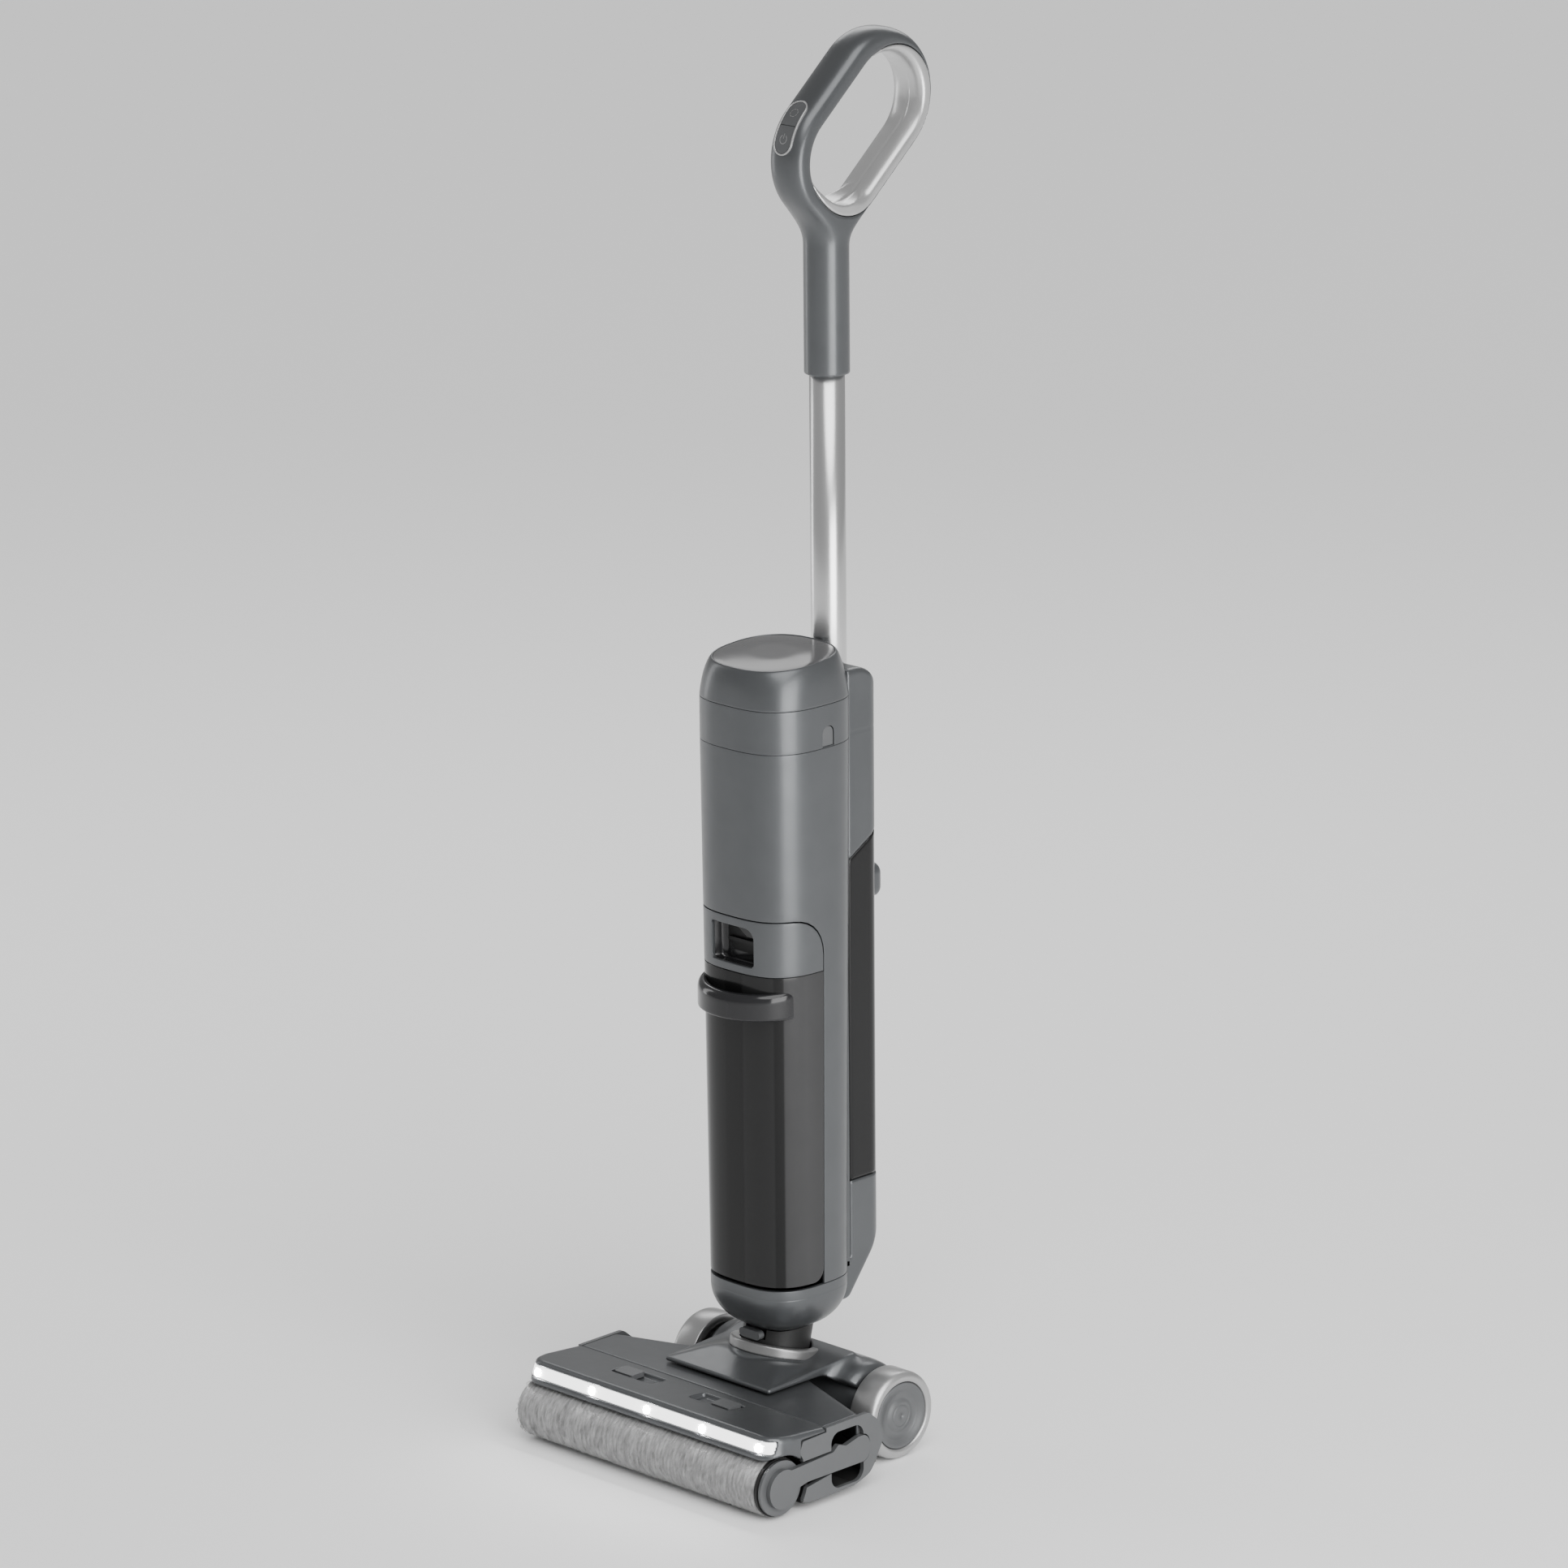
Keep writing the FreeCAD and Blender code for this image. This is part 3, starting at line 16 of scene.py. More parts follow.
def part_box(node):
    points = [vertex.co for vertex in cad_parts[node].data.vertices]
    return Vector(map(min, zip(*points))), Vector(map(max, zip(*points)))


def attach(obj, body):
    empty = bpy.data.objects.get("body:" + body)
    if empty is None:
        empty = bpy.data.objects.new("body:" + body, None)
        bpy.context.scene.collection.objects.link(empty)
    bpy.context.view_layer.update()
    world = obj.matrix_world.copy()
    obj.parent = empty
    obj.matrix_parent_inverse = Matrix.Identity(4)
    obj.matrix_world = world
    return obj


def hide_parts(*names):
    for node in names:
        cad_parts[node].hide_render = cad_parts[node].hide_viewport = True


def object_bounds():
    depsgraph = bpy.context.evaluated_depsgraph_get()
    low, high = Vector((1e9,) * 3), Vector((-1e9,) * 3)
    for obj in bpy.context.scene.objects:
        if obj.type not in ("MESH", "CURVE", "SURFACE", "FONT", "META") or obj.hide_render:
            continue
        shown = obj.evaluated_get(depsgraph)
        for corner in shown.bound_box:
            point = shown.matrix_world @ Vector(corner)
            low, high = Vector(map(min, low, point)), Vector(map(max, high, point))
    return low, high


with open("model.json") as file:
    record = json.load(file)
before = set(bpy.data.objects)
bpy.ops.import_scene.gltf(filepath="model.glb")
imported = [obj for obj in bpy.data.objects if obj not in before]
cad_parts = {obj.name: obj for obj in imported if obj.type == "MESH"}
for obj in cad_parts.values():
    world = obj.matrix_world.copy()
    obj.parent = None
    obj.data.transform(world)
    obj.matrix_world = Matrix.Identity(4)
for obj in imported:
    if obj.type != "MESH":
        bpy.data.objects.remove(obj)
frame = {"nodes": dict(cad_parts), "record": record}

CAD_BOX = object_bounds()
MM = 0.001
WHEEL_LOW, WHEEL_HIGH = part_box("wheel_left")
AXLE_Y = (WHEEL_LOW.y + WHEEL_HIGH.y) / 2 / MM
AXLE_Z = (WHEEL_LOW.z + WHEEL_HIGH.z) / 2 / MM


def metres(point):
    return Vector((point[0] * MM, (point[1] + AXLE_Y) * MM, point[2] * MM))


def span(node):
    """Lowest and highest corner of a CAD node in millimetres, with depths counted from the wheel axle."""
    shift = Vector((0, AXLE_Y, 0))
    low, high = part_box(node)
    return low / MM - shift, high / MM - shift


# ---- materials ----

def set_inputs(node, values):
    """Fixed values for a node's inputs."""
    for name, value in values.items():
        node.inputs[name].default_value = value


def noise_factor(tree, coords, scale, stretch, name, detail=2.0):
    """A noise texture in the object's own space; stretch scales its three directions."""
    mapping = tree.nodes.new("ShaderNodeMapping")
    set_inputs(mapping, {"Scale": stretch})
    tree.links.new(coords.outputs["Object"], mapping.inputs["Vector"])
    texture = tree.nodes.new("ShaderNodeTexNoise")
    texture.label = name
    set_inputs(texture, {"Scale": scale, "Detail": detail})
    tree.links.new(mapping.outputs["Vector"], texture.inputs["Vector"])
    return texture.outputs["Fac"]


def blend_colour(tree, factor, low, high):
    mix = tree.nodes.new("ShaderNodeMix")
    mix.data_type = "RGBA"
    mix.inputs[6].default_value = (*low, 1)
    mix.inputs[7].default_value = (*high, 1)
    tree.links.new(factor, mix.inputs[0])
    return mix.outputs[2]


def spread(tree, factor, low, high):
    """A 0 to 1 factor brought to a range."""
    scale = tree.nodes.new("ShaderNodeMapRange")
    set_inputs(scale, {"From Min": 0.25, "From Max": 0.75, "To Min": low, "To Max": high})
    tree.links.new(factor, scale.inputs["Value"])
    return scale.outputs["Result"]


def painted_reflection_bands(tree, coords, tone, painted_bands):
    """Painted reflection: tone scaled in upright bands that stand for soft panels mirrored in the surface;
    each band is (place across the front right corner in metres, scale).
    """
    split = tree.nodes.new("ShaderNodeSeparateXYZ")
    across = tree.nodes.new("ShaderNodeMath")
    share = tree.nodes.new("ShaderNodeMapRange")
    ramp = tree.nodes.new("ShaderNodeValToRGB")
    scale = tree.nodes.new("ShaderNodeMix")
    scale.data_type = "RGBA"
    scale.blend_type = "MULTIPLY"
    scale.inputs["Factor"].default_value = 1.0
    tree.links.new(coords.outputs["Object"], split.inputs["Vector"])
    tree.links.new(split.outputs["X"], across.inputs[0])
    tree.links.new(split.outputs["Y"], across.inputs[1])
    tree.links.new(across.outputs["Value"], share.inputs["Value"])
    set_inputs(share, {"From Min": painted_bands[0][0], "From Max": painted_bands[-1][0]})
    tree.links.new(share.outputs["Result"], ramp.inputs["Fac"])
    stops = ramp.color_ramp.elements
    while len(stops) < len(painted_bands):
        stops.new(0.5)
    reach = painted_bands[-1][0] - painted_bands[0][0]
    for stop, (place, level) in zip(stops, painted_bands):
        stop.position = (place - painted_bands[0][0]) / reach
        stop.color = (level, level, level, 1)
    tree.links.new(tone, scale.inputs["A"])
    tree.links.new(ramp.outputs["Color"], scale.inputs["B"])
    return scale.outputs["Result"]


LOOKS = {}
GLOSS_SCALE, GRAIN_SCALE = 90.0, 1400.0


def finish(name, colour, roughness, metallic=0.0, coat=0.0, mottle=0.08, grain=0.04, stretch=(1, 1, 1),
           glow=0.0, sheen=0.0, specular=0.5, tone_scale=40.0, painted_bands=()):
    """A look, kept in LOOKS: faint patches of tone and gloss over a fine grain."""
    material = bpy.data.materials.new(name)
    material.use_nodes = True
    tree = material.node_tree
    shader = tree.nodes["Principled BSDF"]
    coords = tree.nodes.new("ShaderNodeTexCoord")
    patches = noise_factor(tree, coords, tone_scale, stretch, "tone")
    low = [c * (1 - mottle) for c in colour]
    high = [min(1.0, c * (1 + mottle)) for c in colour]
    tone = blend_colour(tree, patches, low, high)
    # Painted reflection bands, where given, lighten and darken the tone in upright stripes.
    if painted_bands:
        tone = painted_reflection_bands(tree, coords, tone, painted_bands)
    tree.links.new(tone, shader.inputs["Base Color"])
    gloss = noise_factor(tree, coords, GLOSS_SCALE, stretch, "gloss")
    tree.links.new(spread(tree, gloss, roughness * 0.93, roughness * 1.07), shader.inputs["Roughness"])
    grains = noise_factor(tree, coords, GRAIN_SCALE, stretch, "grain", 1.0)
    bump = tree.nodes.new("ShaderNodeBump")
    set_inputs(bump, {"Strength": grain, "Distance": 0.0002})
    tree.links.new(grains, bump.inputs["Height"])
    tree.links.new(bump.outputs["Normal"], shader.inputs["Normal"])
    set_inputs(shader, {"Metallic": metallic, "Coat Weight": coat, "Coat Roughness": 0.08,
                        "Specular IOR Level": specular, "Sheen Weight": sheen})
    if glow:
        set_inputs(shader, {"Emission Color": (1, 1, 1, 1), "Emission Strength": glow})
    LOOKS[name] = material
    return material


# Painted reflection and shade: the light bands stand for soft panels mirrored in the smoked tank, and the
# dark bands are painted shade that partly stands for the parts inside seen through it.
TANK_PAINTED_REFLECTION_BANDS = [(-0.100, 0.35), (-0.060, 0.20), (-0.057, 0.14), (-0.041, 0.14), (-0.039, 0.26), (-0.007, 0.24),
              (-0.005, 0.12), (0.004, 0.12), (0.006, 0.60), (0.030, 0.75), (0.048, 0.60), (0.080, 0.20)]
finish("graphite_shell", (0.085, 0.089, 0.093), 0.34, metallic=0.6, coat=0.1)
finish("mid_grey_plastic", (0.10, 0.103, 0.106), 0.42, metallic=0.4)
finish("silver_trim", (0.50, 0.50, 0.50), 0.30, metallic=0.8)
finish("pole_aluminium", (0.64, 0.64, 0.64), 0.26, metallic=1.0, stretch=(1, 1, 0.04))
finish("smoked_tank", (0.052, 0.052, 0.053), 0.14, specular=0.22, painted_bands=TANK_PAINTED_REFLECTION_BANDS)
finish("gloss_black", (0.012, 0.012, 0.013), 0.16, coat=0.2, specular=0.3)
finish("black_plastic", (0.010, 0.010, 0.010), 0.5, specular=0.3)
finish("display_glass", (0.075, 0.075, 0.077), 0.14, grain=0.0, specular=0.2)
finish("wheel_silver", (0.40, 0.40, 0.40), 0.34, metallic=0.8)
finish("nap_fibre", (0.27, 0.27, 0.27), 0.9, sheen=0.15, mottle=0.85, tone_scale=420.0,
       stretch=(1, 0.22, 0.22))
finish("light_diffuser", (0.7, 0.7, 0.7), 0.4, glow=2.4)
finish("collar_grey", (0.22, 0.22, 0.22), 0.32, metallic=0.7)
finish("led_point", (0.9, 0.9, 0.9), 0.2, glow=400.0)
finish("soft_rubber", (0.012, 0.012, 0.012), 0.7)
finish("steel", (0.5, 0.5, 0.5), 0.3, metallic=1.0)
finish("stamped_aluminium", (0.5, 0.5, 0.5), 0.35, metallic=1.0)
finish("cell_wrap", (0.03, 0.09, 0.22), 0.35)
finish("circuit_board", (0.01, 0.09, 0.04), 0.4)
finish("filter_paper", (0.7, 0.69, 0.62), 0.9)
finish("contact_brass", (0.7, 0.5, 0.2), 0.25, metallic=1.0)


def dress_node(node, slot):
    mesh = frame["nodes"][node].data
    mesh.materials.clear()
    mesh.materials.append(LOOKS[slot])


for entry in frame["record"]["subparts"]:
    dress_node(entry["node"], entry["material_slot"])


# ---- mesh tools ----

def linked(name, data):
    """A new object in the scene."""
    thing = bpy.data.objects.new(name, data)
    bpy.context.collection.objects.link(thing)
    return thing


def piece(name, points, faces, body, slot, nodes=(), look=None):
    """A smooth mesh that rides on a body and stands for some CAD nodes."""
    mesh = bpy.data.meshes.new(name)
    mesh.from_pydata([metres(p) for p in points], [], [[int(i) for i in face] for face in faces])
    mesh.polygons.foreach_set("use_smooth", [True] * len(mesh.polygons))
    mesh.materials.append(LOOKS[look or slot])
    thing = linked(name, mesh)
    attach(thing, body)
    if nodes:
        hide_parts(*nodes)
    return thing


def evened(thing):
    """Shading led by the large faces, so thin rims don't tint the broad surfaces beside them."""
    normals = thing.modifiers.new("normals", "WEIGHTED_NORMAL")
    normals.weight = 80
    return thing


def welded(thing, reach):
    """Points closer than reach, in metres, made one."""
    weld = thing.modifiers.new("weld", "WELD")
    weld.merge_threshold = reach
    return thing


def thicken(thing, thickness):
    """Walls of a shell, grown inwards from its outer skin."""
    solidify = thing.modifiers.new("wall", "SOLIDIFY")
    solidify.thickness = thickness * MM
    solidify.offset = -1
    return thing


def soften(thing, width):
    """Small rounds along the sharp edges, with flat faces kept flat in the shading."""
    bevel = thing.modifiers.new("rounds", "BEVEL")
    bevel.width = width * MM
    bevel.segments = 2
    bevel.limit_method = "ANGLE"
    bevel.angle_limit = math.radians(40)
    bevel.miter_outer = "MITER_ARC"
    normals = thing.modifiers.new("normals", "WEIGHTED_NORMAL")
    normals.keep_sharp = True
    normals.weight = 60
    return thing


ARC_STEP = 12.0


def rounded(corners, radii):
    """Points of a closed outline whose corners are arcs, in steps of about ARC_STEP degrees."""
    points = []
    for i, radius in enumerate(radii):
        here = Vector(corners[i])
        if radius == 0:
            points.append(tuple(here))
            continue
        before = (Vector(corners[i - 1]) - here).normalized()
        after = (Vector(corners[(i + 1) % len(corners)]) - here).normalized()
        half = before.angle(after) / 2
        reach = radius / math.tan(half)
        centre = here + (before + after).normalized() * (radius / math.sin(half))
        start = here + before * reach - centre
        sweep = math.pi - 2 * half
        side = 1 if before.x * start.y - before.y * start.x > 0 else -1
        steps = max(2, round(math.degrees(sweep) / ARC_STEP))
        for k in range(steps + 1):
            angle = side * sweep * k / steps
            cosine, sine = math.cos(angle), math.sin(angle)
            points.append((centre.x + start.x * cosine - start.y * sine,
                           centre.y + start.x * sine + start.y * cosine))
    return points


def rectangle(left, low, right, high, radii):
    """A rectangle's outline; radii goes round its corners from left low, by right low, to left high."""
    return rounded([(left, low), (right, low), (right, high), (left, high)], radii)


def divided(loop, step):
    """A closed outline with no edge longer than step."""
    points = []
    for here, there in zip(loop, loop[1:] + loop[:1]):
        here, there = Vector(here), Vector(there)
        parts = max(1, math.ceil((there - here).length / step))
        points += [tuple(here.lerp(there, k / parts)) for k in range(parts)]
    return points


def filled(loops, step):
    """Triangles inside the first outline and outside the others, over an even grid of inner points."""
    points, edges = [], []
    for loop in loops:
        ring = divided(loop, step)
        first = len(points)
        points += ring
        edges += [(first + k, first + (k + 1) % len(ring)) for k in range(len(ring))]
    rim = np.array(points)
    low, high = rim.min(0), rim.max(0)
    xs = np.linspace(low[0], high[0], max(2, round((high[0] - low[0]) / step)) + 1)[1:-1]
    ys = np.linspace(low[1], high[1], max(2, round((high[1] - low[1]) / step)) + 1)[1:-1]
    for x in xs:
        for y in ys:
            if np.hypot(rim[:, 0] - x, rim[:, 1] - y).min() > 0.55 * step:
                points.append((x, y))
    made = delaunay_2d_cdt([Vector(p) for p in points], edges, [], 2, 1e-5)
    spots = [tuple(v) for v in made[0]]
    kept = [face for face in made[2] if encloses(loops, np.mean([spots[i] for i in face], axis=0))]
    used = sorted({i for face in kept for i in face})
    number = {old: new for new, old in enumerate(used)}
    return [spots[i] for i in used], [[number[i] for i in face] for face in kept]


def encloses(loops, spot):
    """Whether a flat point is inside an odd number of outlines."""
    x, y = spot
    crossings = 0
    for loop in loops:
        for (x0, y0), (x1, y1) in zip(loop, loop[1:] + loop[:1]):
            if (y0 > y) != (y1 > y) and x < x0 + (y - y0) * (x1 - x0) / (y1 - y0):
                crossings += 1
    return crossings % 2 == 1


def patch(name, loops, step, place, body, slot, nodes):
    """An outline with holes, laid on a curved surface; place turns a flat point into a point in space."""
    flat, faces = filled(loops, step)
    return piece(name, [place(*p) for p in flat], faces, body, slot, nodes)


def joined(rings, closed=True, cap_start=False, cap_end=False):
    """Points and faces of a skin through rings of equal length."""
    count = len(rings[0])
    points = [p for ring in rings for p in ring]
    faces = []
    last = count if closed else count - 1
    for r in range(len(rings) - 1):
        for k in range(last):
            near, far = r * count + k, r * count + (k + 1) % count
            faces.append((near, far, far + count, near + count))
    if cap_start:
        faces.append(tuple(reversed(range(count))))
    if cap_end:
        faces.append(tuple(range(len(points) - count, len(points))))
    return points, faces


def turned(name, profile, base, body, slot, nodes, axis="x"):
    """A solid of revolution about a line through base; profile holds (distance along, radius)."""
    steps = 96
    rings = []
    for k in range(steps):
        angle = 2 * math.pi * k / steps
        cosine, sine = math.cos(angle), math.sin(angle)
        if axis == "x":
            rings.append([(base[0] + a, base[1] + r * cosine, base[2] + r * sine) for a, r in profile])
        else:
            rings.append([(base[0] + r * cosine, base[1] + r * sine, base[2] + a)
                          for a, r in reversed(profile)])
    rings.append(rings[0])
    points, faces = joined(rings)
    return welded(piece(name, points, faces, body, slot, nodes), 1e-6)


def smooth_min(a, b, reach):
    """Union of two distance fields with a fillet between them."""
    near = np.maximum(reach - np.abs(a - b), 0) / reach
    return np.minimum(a, b) - near * near * reach / 4


def smooth_max(a, b, reach):
    return -smooth_min(-a, -b, reach)


def corner_field(gap_x, gap_y, radius):
    """Distance to an outline with a round corner, from the gaps to the corner's centre."""
    outside = np.hypot(np.maximum(gap_x, 0), np.maximum(gap_y, 0))
    return outside + np.minimum(np.maximum(gap_x, gap_y), 0) - radius


def box_field(point, middle, half, rounding):
    """Distance to a box with round edges."""
    gaps = [np.abs(p - m) - (h - rounding) for p, m, h in zip(point, middle, half)]
    outside = np.sqrt(sum(np.maximum(g, 0) ** 2 for g in gaps))
    return outside + np.minimum(np.maximum.reduce(gaps), 0) - rounding


def settle(field, points, step):
    """Moves points along the field's slope until they lie on its surface."""
    tiny = 0.02 * step
    for _ in range(5):
        x, y, z = points.T
        value = field(x, y, z)
        rises = [field(x + tiny, y, z) - field(x - tiny, y, z),
                 field(x, y + tiny, z) - field(x, y - tiny, z),
                 field(x, y, z + tiny) - field(x, y, z - tiny)]
        slope = np.stack(rises, 1) / (2 * tiny)
        move = -slope * (value / np.maximum((slope ** 2).sum(1), 1e-6))[:, None]
        length = np.linalg.norm(move, axis=1, keepdims=True)
        points = points + move * np.minimum(1, 0.7 * step / np.maximum(length, 1e-9))
    return points


def carved(name, field, low, high, step, body, slot, nodes, look=None):
    """The closed surface where a field is zero: one point in each grid cell it crosses, then evened out."""
    lines = [np.arange(a, b + step, step) for a, b in zip(low, high)]
    inside = field(*np.meshgrid(*lines, indexing="ij")) < 0
    shape = np.array(inside.shape) - 1
    count = sum(inside[i:i + shape[0], j:j + shape[1], k:k + shape[2]].astype(int)
                for i in (0, 1) for j in (0, 1) for k in (0, 1))
    crossed = (count > 0) & (count < 8)
    number = np.full(crossed.shape, -1)
    number[crossed] = np.arange(crossed.sum())
    points = np.array(low) + (np.argwhere(crossed) + 0.5) * step
    quads = []
    for axis, (one, two) in enumerate(((1, 2), (2, 0), (0, 1))):
        near = inside.take(range(inside.shape[axis] - 1), axis)
        far = inside.take(range(1, inside.shape[axis]), axis)
        spots = np.argwhere(near != far)
        across, along = spots[:, one], spots[:, two]
        spots = spots[(across > 0) & (along > 0) & (across < shape[one]) & (along < shape[two])]
        corners = []
        for a, b in ((0, 0), (-1, 0), (-1, -1), (0, -1)):
            cell = spots.copy()
            cell[:, one] += a
            cell[:, two] += b
            corners.append(number[tuple(cell.T)])
        quad = np.stack(corners, 1)
        outward = near[tuple(spots.T)]
        quads.append(quad[outward])
        quads.append(quad[~outward][:, ::-1])
    quads = np.concatenate(quads)
    ends = np.concatenate([quads[:, (k, (k + 1) % 4)] for k in range(4)])
    points = settle(field, points, step)
    for _ in range(3):
        total = np.zeros_like(points)
        weight = np.zeros(len(points))
        np.add.at(total, ends[:, 0], points[ends[:, 1]])
        np.add.at(weight, ends[:, 0], 1)
        points = settle(field, 0.5 * points + 0.5 * total / weight[:, None], step)
    return piece(name, points.tolist(), quads.tolist(), body, slot, nodes, look)


# ---- upright body ----

BAND_LOW, BAND_HIGH = span("display_band")
BODY_HALF_X = BAND_HIGH.x
BODY_HALF_Y = 50.5
BODY_Y = BAND_LOW.y + BODY_HALF_Y
SHELL_TOP = span("main_housing")[1].z
BACK_FACE = span("main_housing")[1].y
DRAFT = math.tan(math.radians(0.45))
SQUIRCLE = 2.9
TANK_BACK = span("dirty_tank")[1].y
SEAM_GAP = 0.4
FRAME_CORNER = 30.0
SHELL_WALL = 2.4
OUTLINE_STEPS = 2880


def squircle_runs():
    """Angles round the full-size section from its front, and the run of outline up to each."""
    angles = np.linspace(0, 2 * math.pi, OUTLINE_STEPS + 1)
    points = np.stack(squircle_spot(angles, BODY_HALF_X, BODY_HALF_Y), 1)
    steps = np.linalg.norm(np.diff(points, axis=0), axis=1)
    return angles, np.concatenate([[0], np.cumsum(steps)])


def squircle_spot(angle, half_x, half_y, squareness=SQUIRCLE):
    """A point of a round-cornered section at an angle from its front."""
    side, front = np.sin(angle), -np.cos(angle)
    power = 2 / squareness
    return half_x * np.sign(side) * np.abs(side) ** power, half_y * np.sign(front) * np.abs(front) ** power


RUN_ANGLES, RUN_LENGTHS = squircle_runs()
BODY_ROUND = RUN_LENGTHS[-1]


def body_spot(run, z, inset=0.0, squareness=SQUIRCLE):
    """The point of the upright's skin at a run round its section from the front, and at a height."""
    angle = np.interp(run % BODY_ROUND, RUN_LENGTHS, RUN_ANGLES)
    offset = max(0.0, SHELL_TOP - z) * DRAFT + inset
    x, y = squircle_spot(angle, BODY_HALF_X - offset, BODY_HALF_Y - offset, squareness)
    return float(x), min(float(y) + BODY_Y, BACK_FACE), z


def body_ring(z, inset, squareness=SQUIRCLE):
    count = 180
    return [body_spot(BODY_ROUND * k / count, z, inset, squareness) for k in range(count)]


def side_run(y=TANK_BACK):
    """Run from the front to the point of the right side at a depth."""
    right_half = RUN_LENGTHS[:OUTLINE_STEPS // 2 + 1]
    return float(np.interp(y, [body_spot(run, SHELL_TOP)[1] for run in right_half], right_half))


SIDE = side_run()


def tank_outline(low, high, grow, corner, low_corner=0.0):
    """Tank front on the unrolled skin: its right and left seams, with round top corners."""
    side = SIDE + grow
    return rectangle(-side, low, side, high, [low_corner, low_corner, corner, corner])


def build_main_shell():
    """Grey skin above the tank and beside it; the tank's outline is cut out of it."""
    low, high = span("main_housing")
    top = span("tank_frame")[1].z + SEAM_GAP
    side = SIDE + SEAM_GAP
    below = low.z - 20
    half = BODY_ROUND / 2
    corner = FRAME_CORNER + 0.5
    notch = rounded([(-side, below), (-side, top), (side, top), (side, below)], [0, corner, corner, 0])
    notch = [(x, max(z, low.z)) for x, z in notch]
    outline = [(-half, low.z)] + notch + [(half, low.z), (half, high.z), (-half, high.z)]
    shell = patch("body_shell", [outline], 4.0, body_spot, "upright", "graphite_shell", ["main_housing"])
    soften(thicken(welded(shell, 1e-5), SHELL_WALL), 0.45)


def build_spine():
    """Flat back of the upright, which the rear module stands against."""
    low, high = span("main_housing")
    half = span("clean_tank")[1].x
    plan = rectangle(-half, 0, half, BACK_FACE, [0, 1.5, 1.5, 0])
    rings = [[(x, y, z) for x, y in plan] for z in (low.z, high.z)]
    points, faces = joined(rings, cap_start=True, cap_end=True)
    soften(piece("body_spine", points, faces, "upright", "graphite_shell"), 0.5)


def arch(grow=0.0):
    """Arch-topped outline of the pole release on the unrolled right side."""
    low, high = span("pole_release")
    left, right, top = side_run(low.y) - grow, side_run(high.y) + grow, high.z + grow
    crown = (right - left) / 2 - 0.1
    return rectangle(left, low.z, right, top, [0, 0, crown, crown])


def build_band():
    """Display band with the arched pole release let into its right side."""
    low, high = span("display_band")
    half = BODY_ROUND / 2
    gap = 0.3
    sunk = 0.9
    outline = [(-half, low.z - gap), (half, low.z - gap), (half, high.z), (-half, high.z)]
    band = patch("band_shell", [outline, arch(gap)], 3.0, body_spot, "upright", "graphite_shell",
                 ["display_band"])
    soften(thicken(welded(band, 1e-5), SHELL_WALL), 0.3)
    plug = patch("release_plug", [arch()], 1.5, lambda run, z: body_spot(run, z, sunk), "pole_catch",
                 "mid_grey_plastic", ["pole_release"])
    soften(thicken(plug, 3.0), 0.3)


LID_FOOT = span("top_lid")[0].z
LID_RISE = 28
LID_LEAN = 0.065
LID_PIVOT = 38.0
LENS_SQUARENESS = SQUIRCLE - 0.45


def lid_ring(inset, up, squareness):
    """A ring of the lid at a height over its foot; the lid's top falls towards the front."""
    lean = LID_LEAN * (max(up, 0) / LID_RISE) ** 3
    ring = body_ring(LID_FOOT + up, inset, squareness)
    return [(x, y, z + (LID_PIVOT + (y - BODY_Y)) * lean) for x, y, z in ring]


def build_lid():
    """Lid with a soft shoulder, and the flat lens let into its top."""
    shoulder = [(2.4, -0.2), (0.35, -0.2), (0, 0.1), (0, 1.5), (0.3, 7), (0.8, 12), (1.5, 17), (2.5, 21.5),
                (3.6, 25.0), (4.6, 27.2), (5.5, 28.6), (6.3, 29.3), (6.9, 29.5), (7.2, 29.4), (7.4, 29.1),
                (7.4, 28.0)]
    rings = [lid_ring(inset, up, SQUIRCLE - 0.45 * max(0, up) / LID_RISE) for inset, up in shoulder]
    points, faces = joined(rings)
    evened(piece("lid_shell", points, faces, "upright", "graphite_shell", ["top_lid"]))
    lens = [(8.0, 27.6), (7.55, 28.2), (7.55, 28.9), (7.8, 29.25), (12, 29.6), (20, 30.1), (28, 30.4),
            (36, 30.6)]
    rings = [lid_ring(inset, up, LENS_SQUARENESS) for inset, up in lens]
    points, faces = joined(rings, cap_end=True)
    evened(piece("lid_lens", points, faces, "upright", "display_glass", ["display_lens"]))


def build_bowl():
    """Foot of the upright: a band under the tank, a fine seam and a deep round underside."""
    low, high = span("lower_bowl")
    seam = high.z - 7.6
    reach, depth = 31.0, seam - 1.0 - low.z
    profile = [(3.0, high.z), (0.4, high.z), (0, high.z - 0.4), (0, seam + 0.3), (0.18, seam),
               (0, seam - 0.3)]
    steps = 24
    for k in range(steps + 1):
        angle = math.radians(90 * k / steps)
        profile.append((reach * (1 - math.cos(angle)), low.z + depth * (1 - math.sin(angle))))
    profile.append((38.0, low.z))
    rings = [body_ring(z, inset) for inset, z in reversed(profile)]
    points, faces = joined(rings, cap_start=True)
    evened(piece("bowl_shell", points, faces, "upright", "graphite_shell", ["lower_bowl"]))


WINDOW_HALF_X = 23.4
WINDOW_LOW, WINDOW_HIGH = 396.2, 427.0


def window_outline(grow, corner, large_corner):
    """The tank frame's window on the unrolled skin; its right top corner is rounder than the others."""
    side, low, high = WINDOW_HALF_X + grow, WINDOW_LOW - grow, WINDOW_HIGH + grow
    return rectangle(-side, low, side, high, [corner, corner, large_corner, corner])


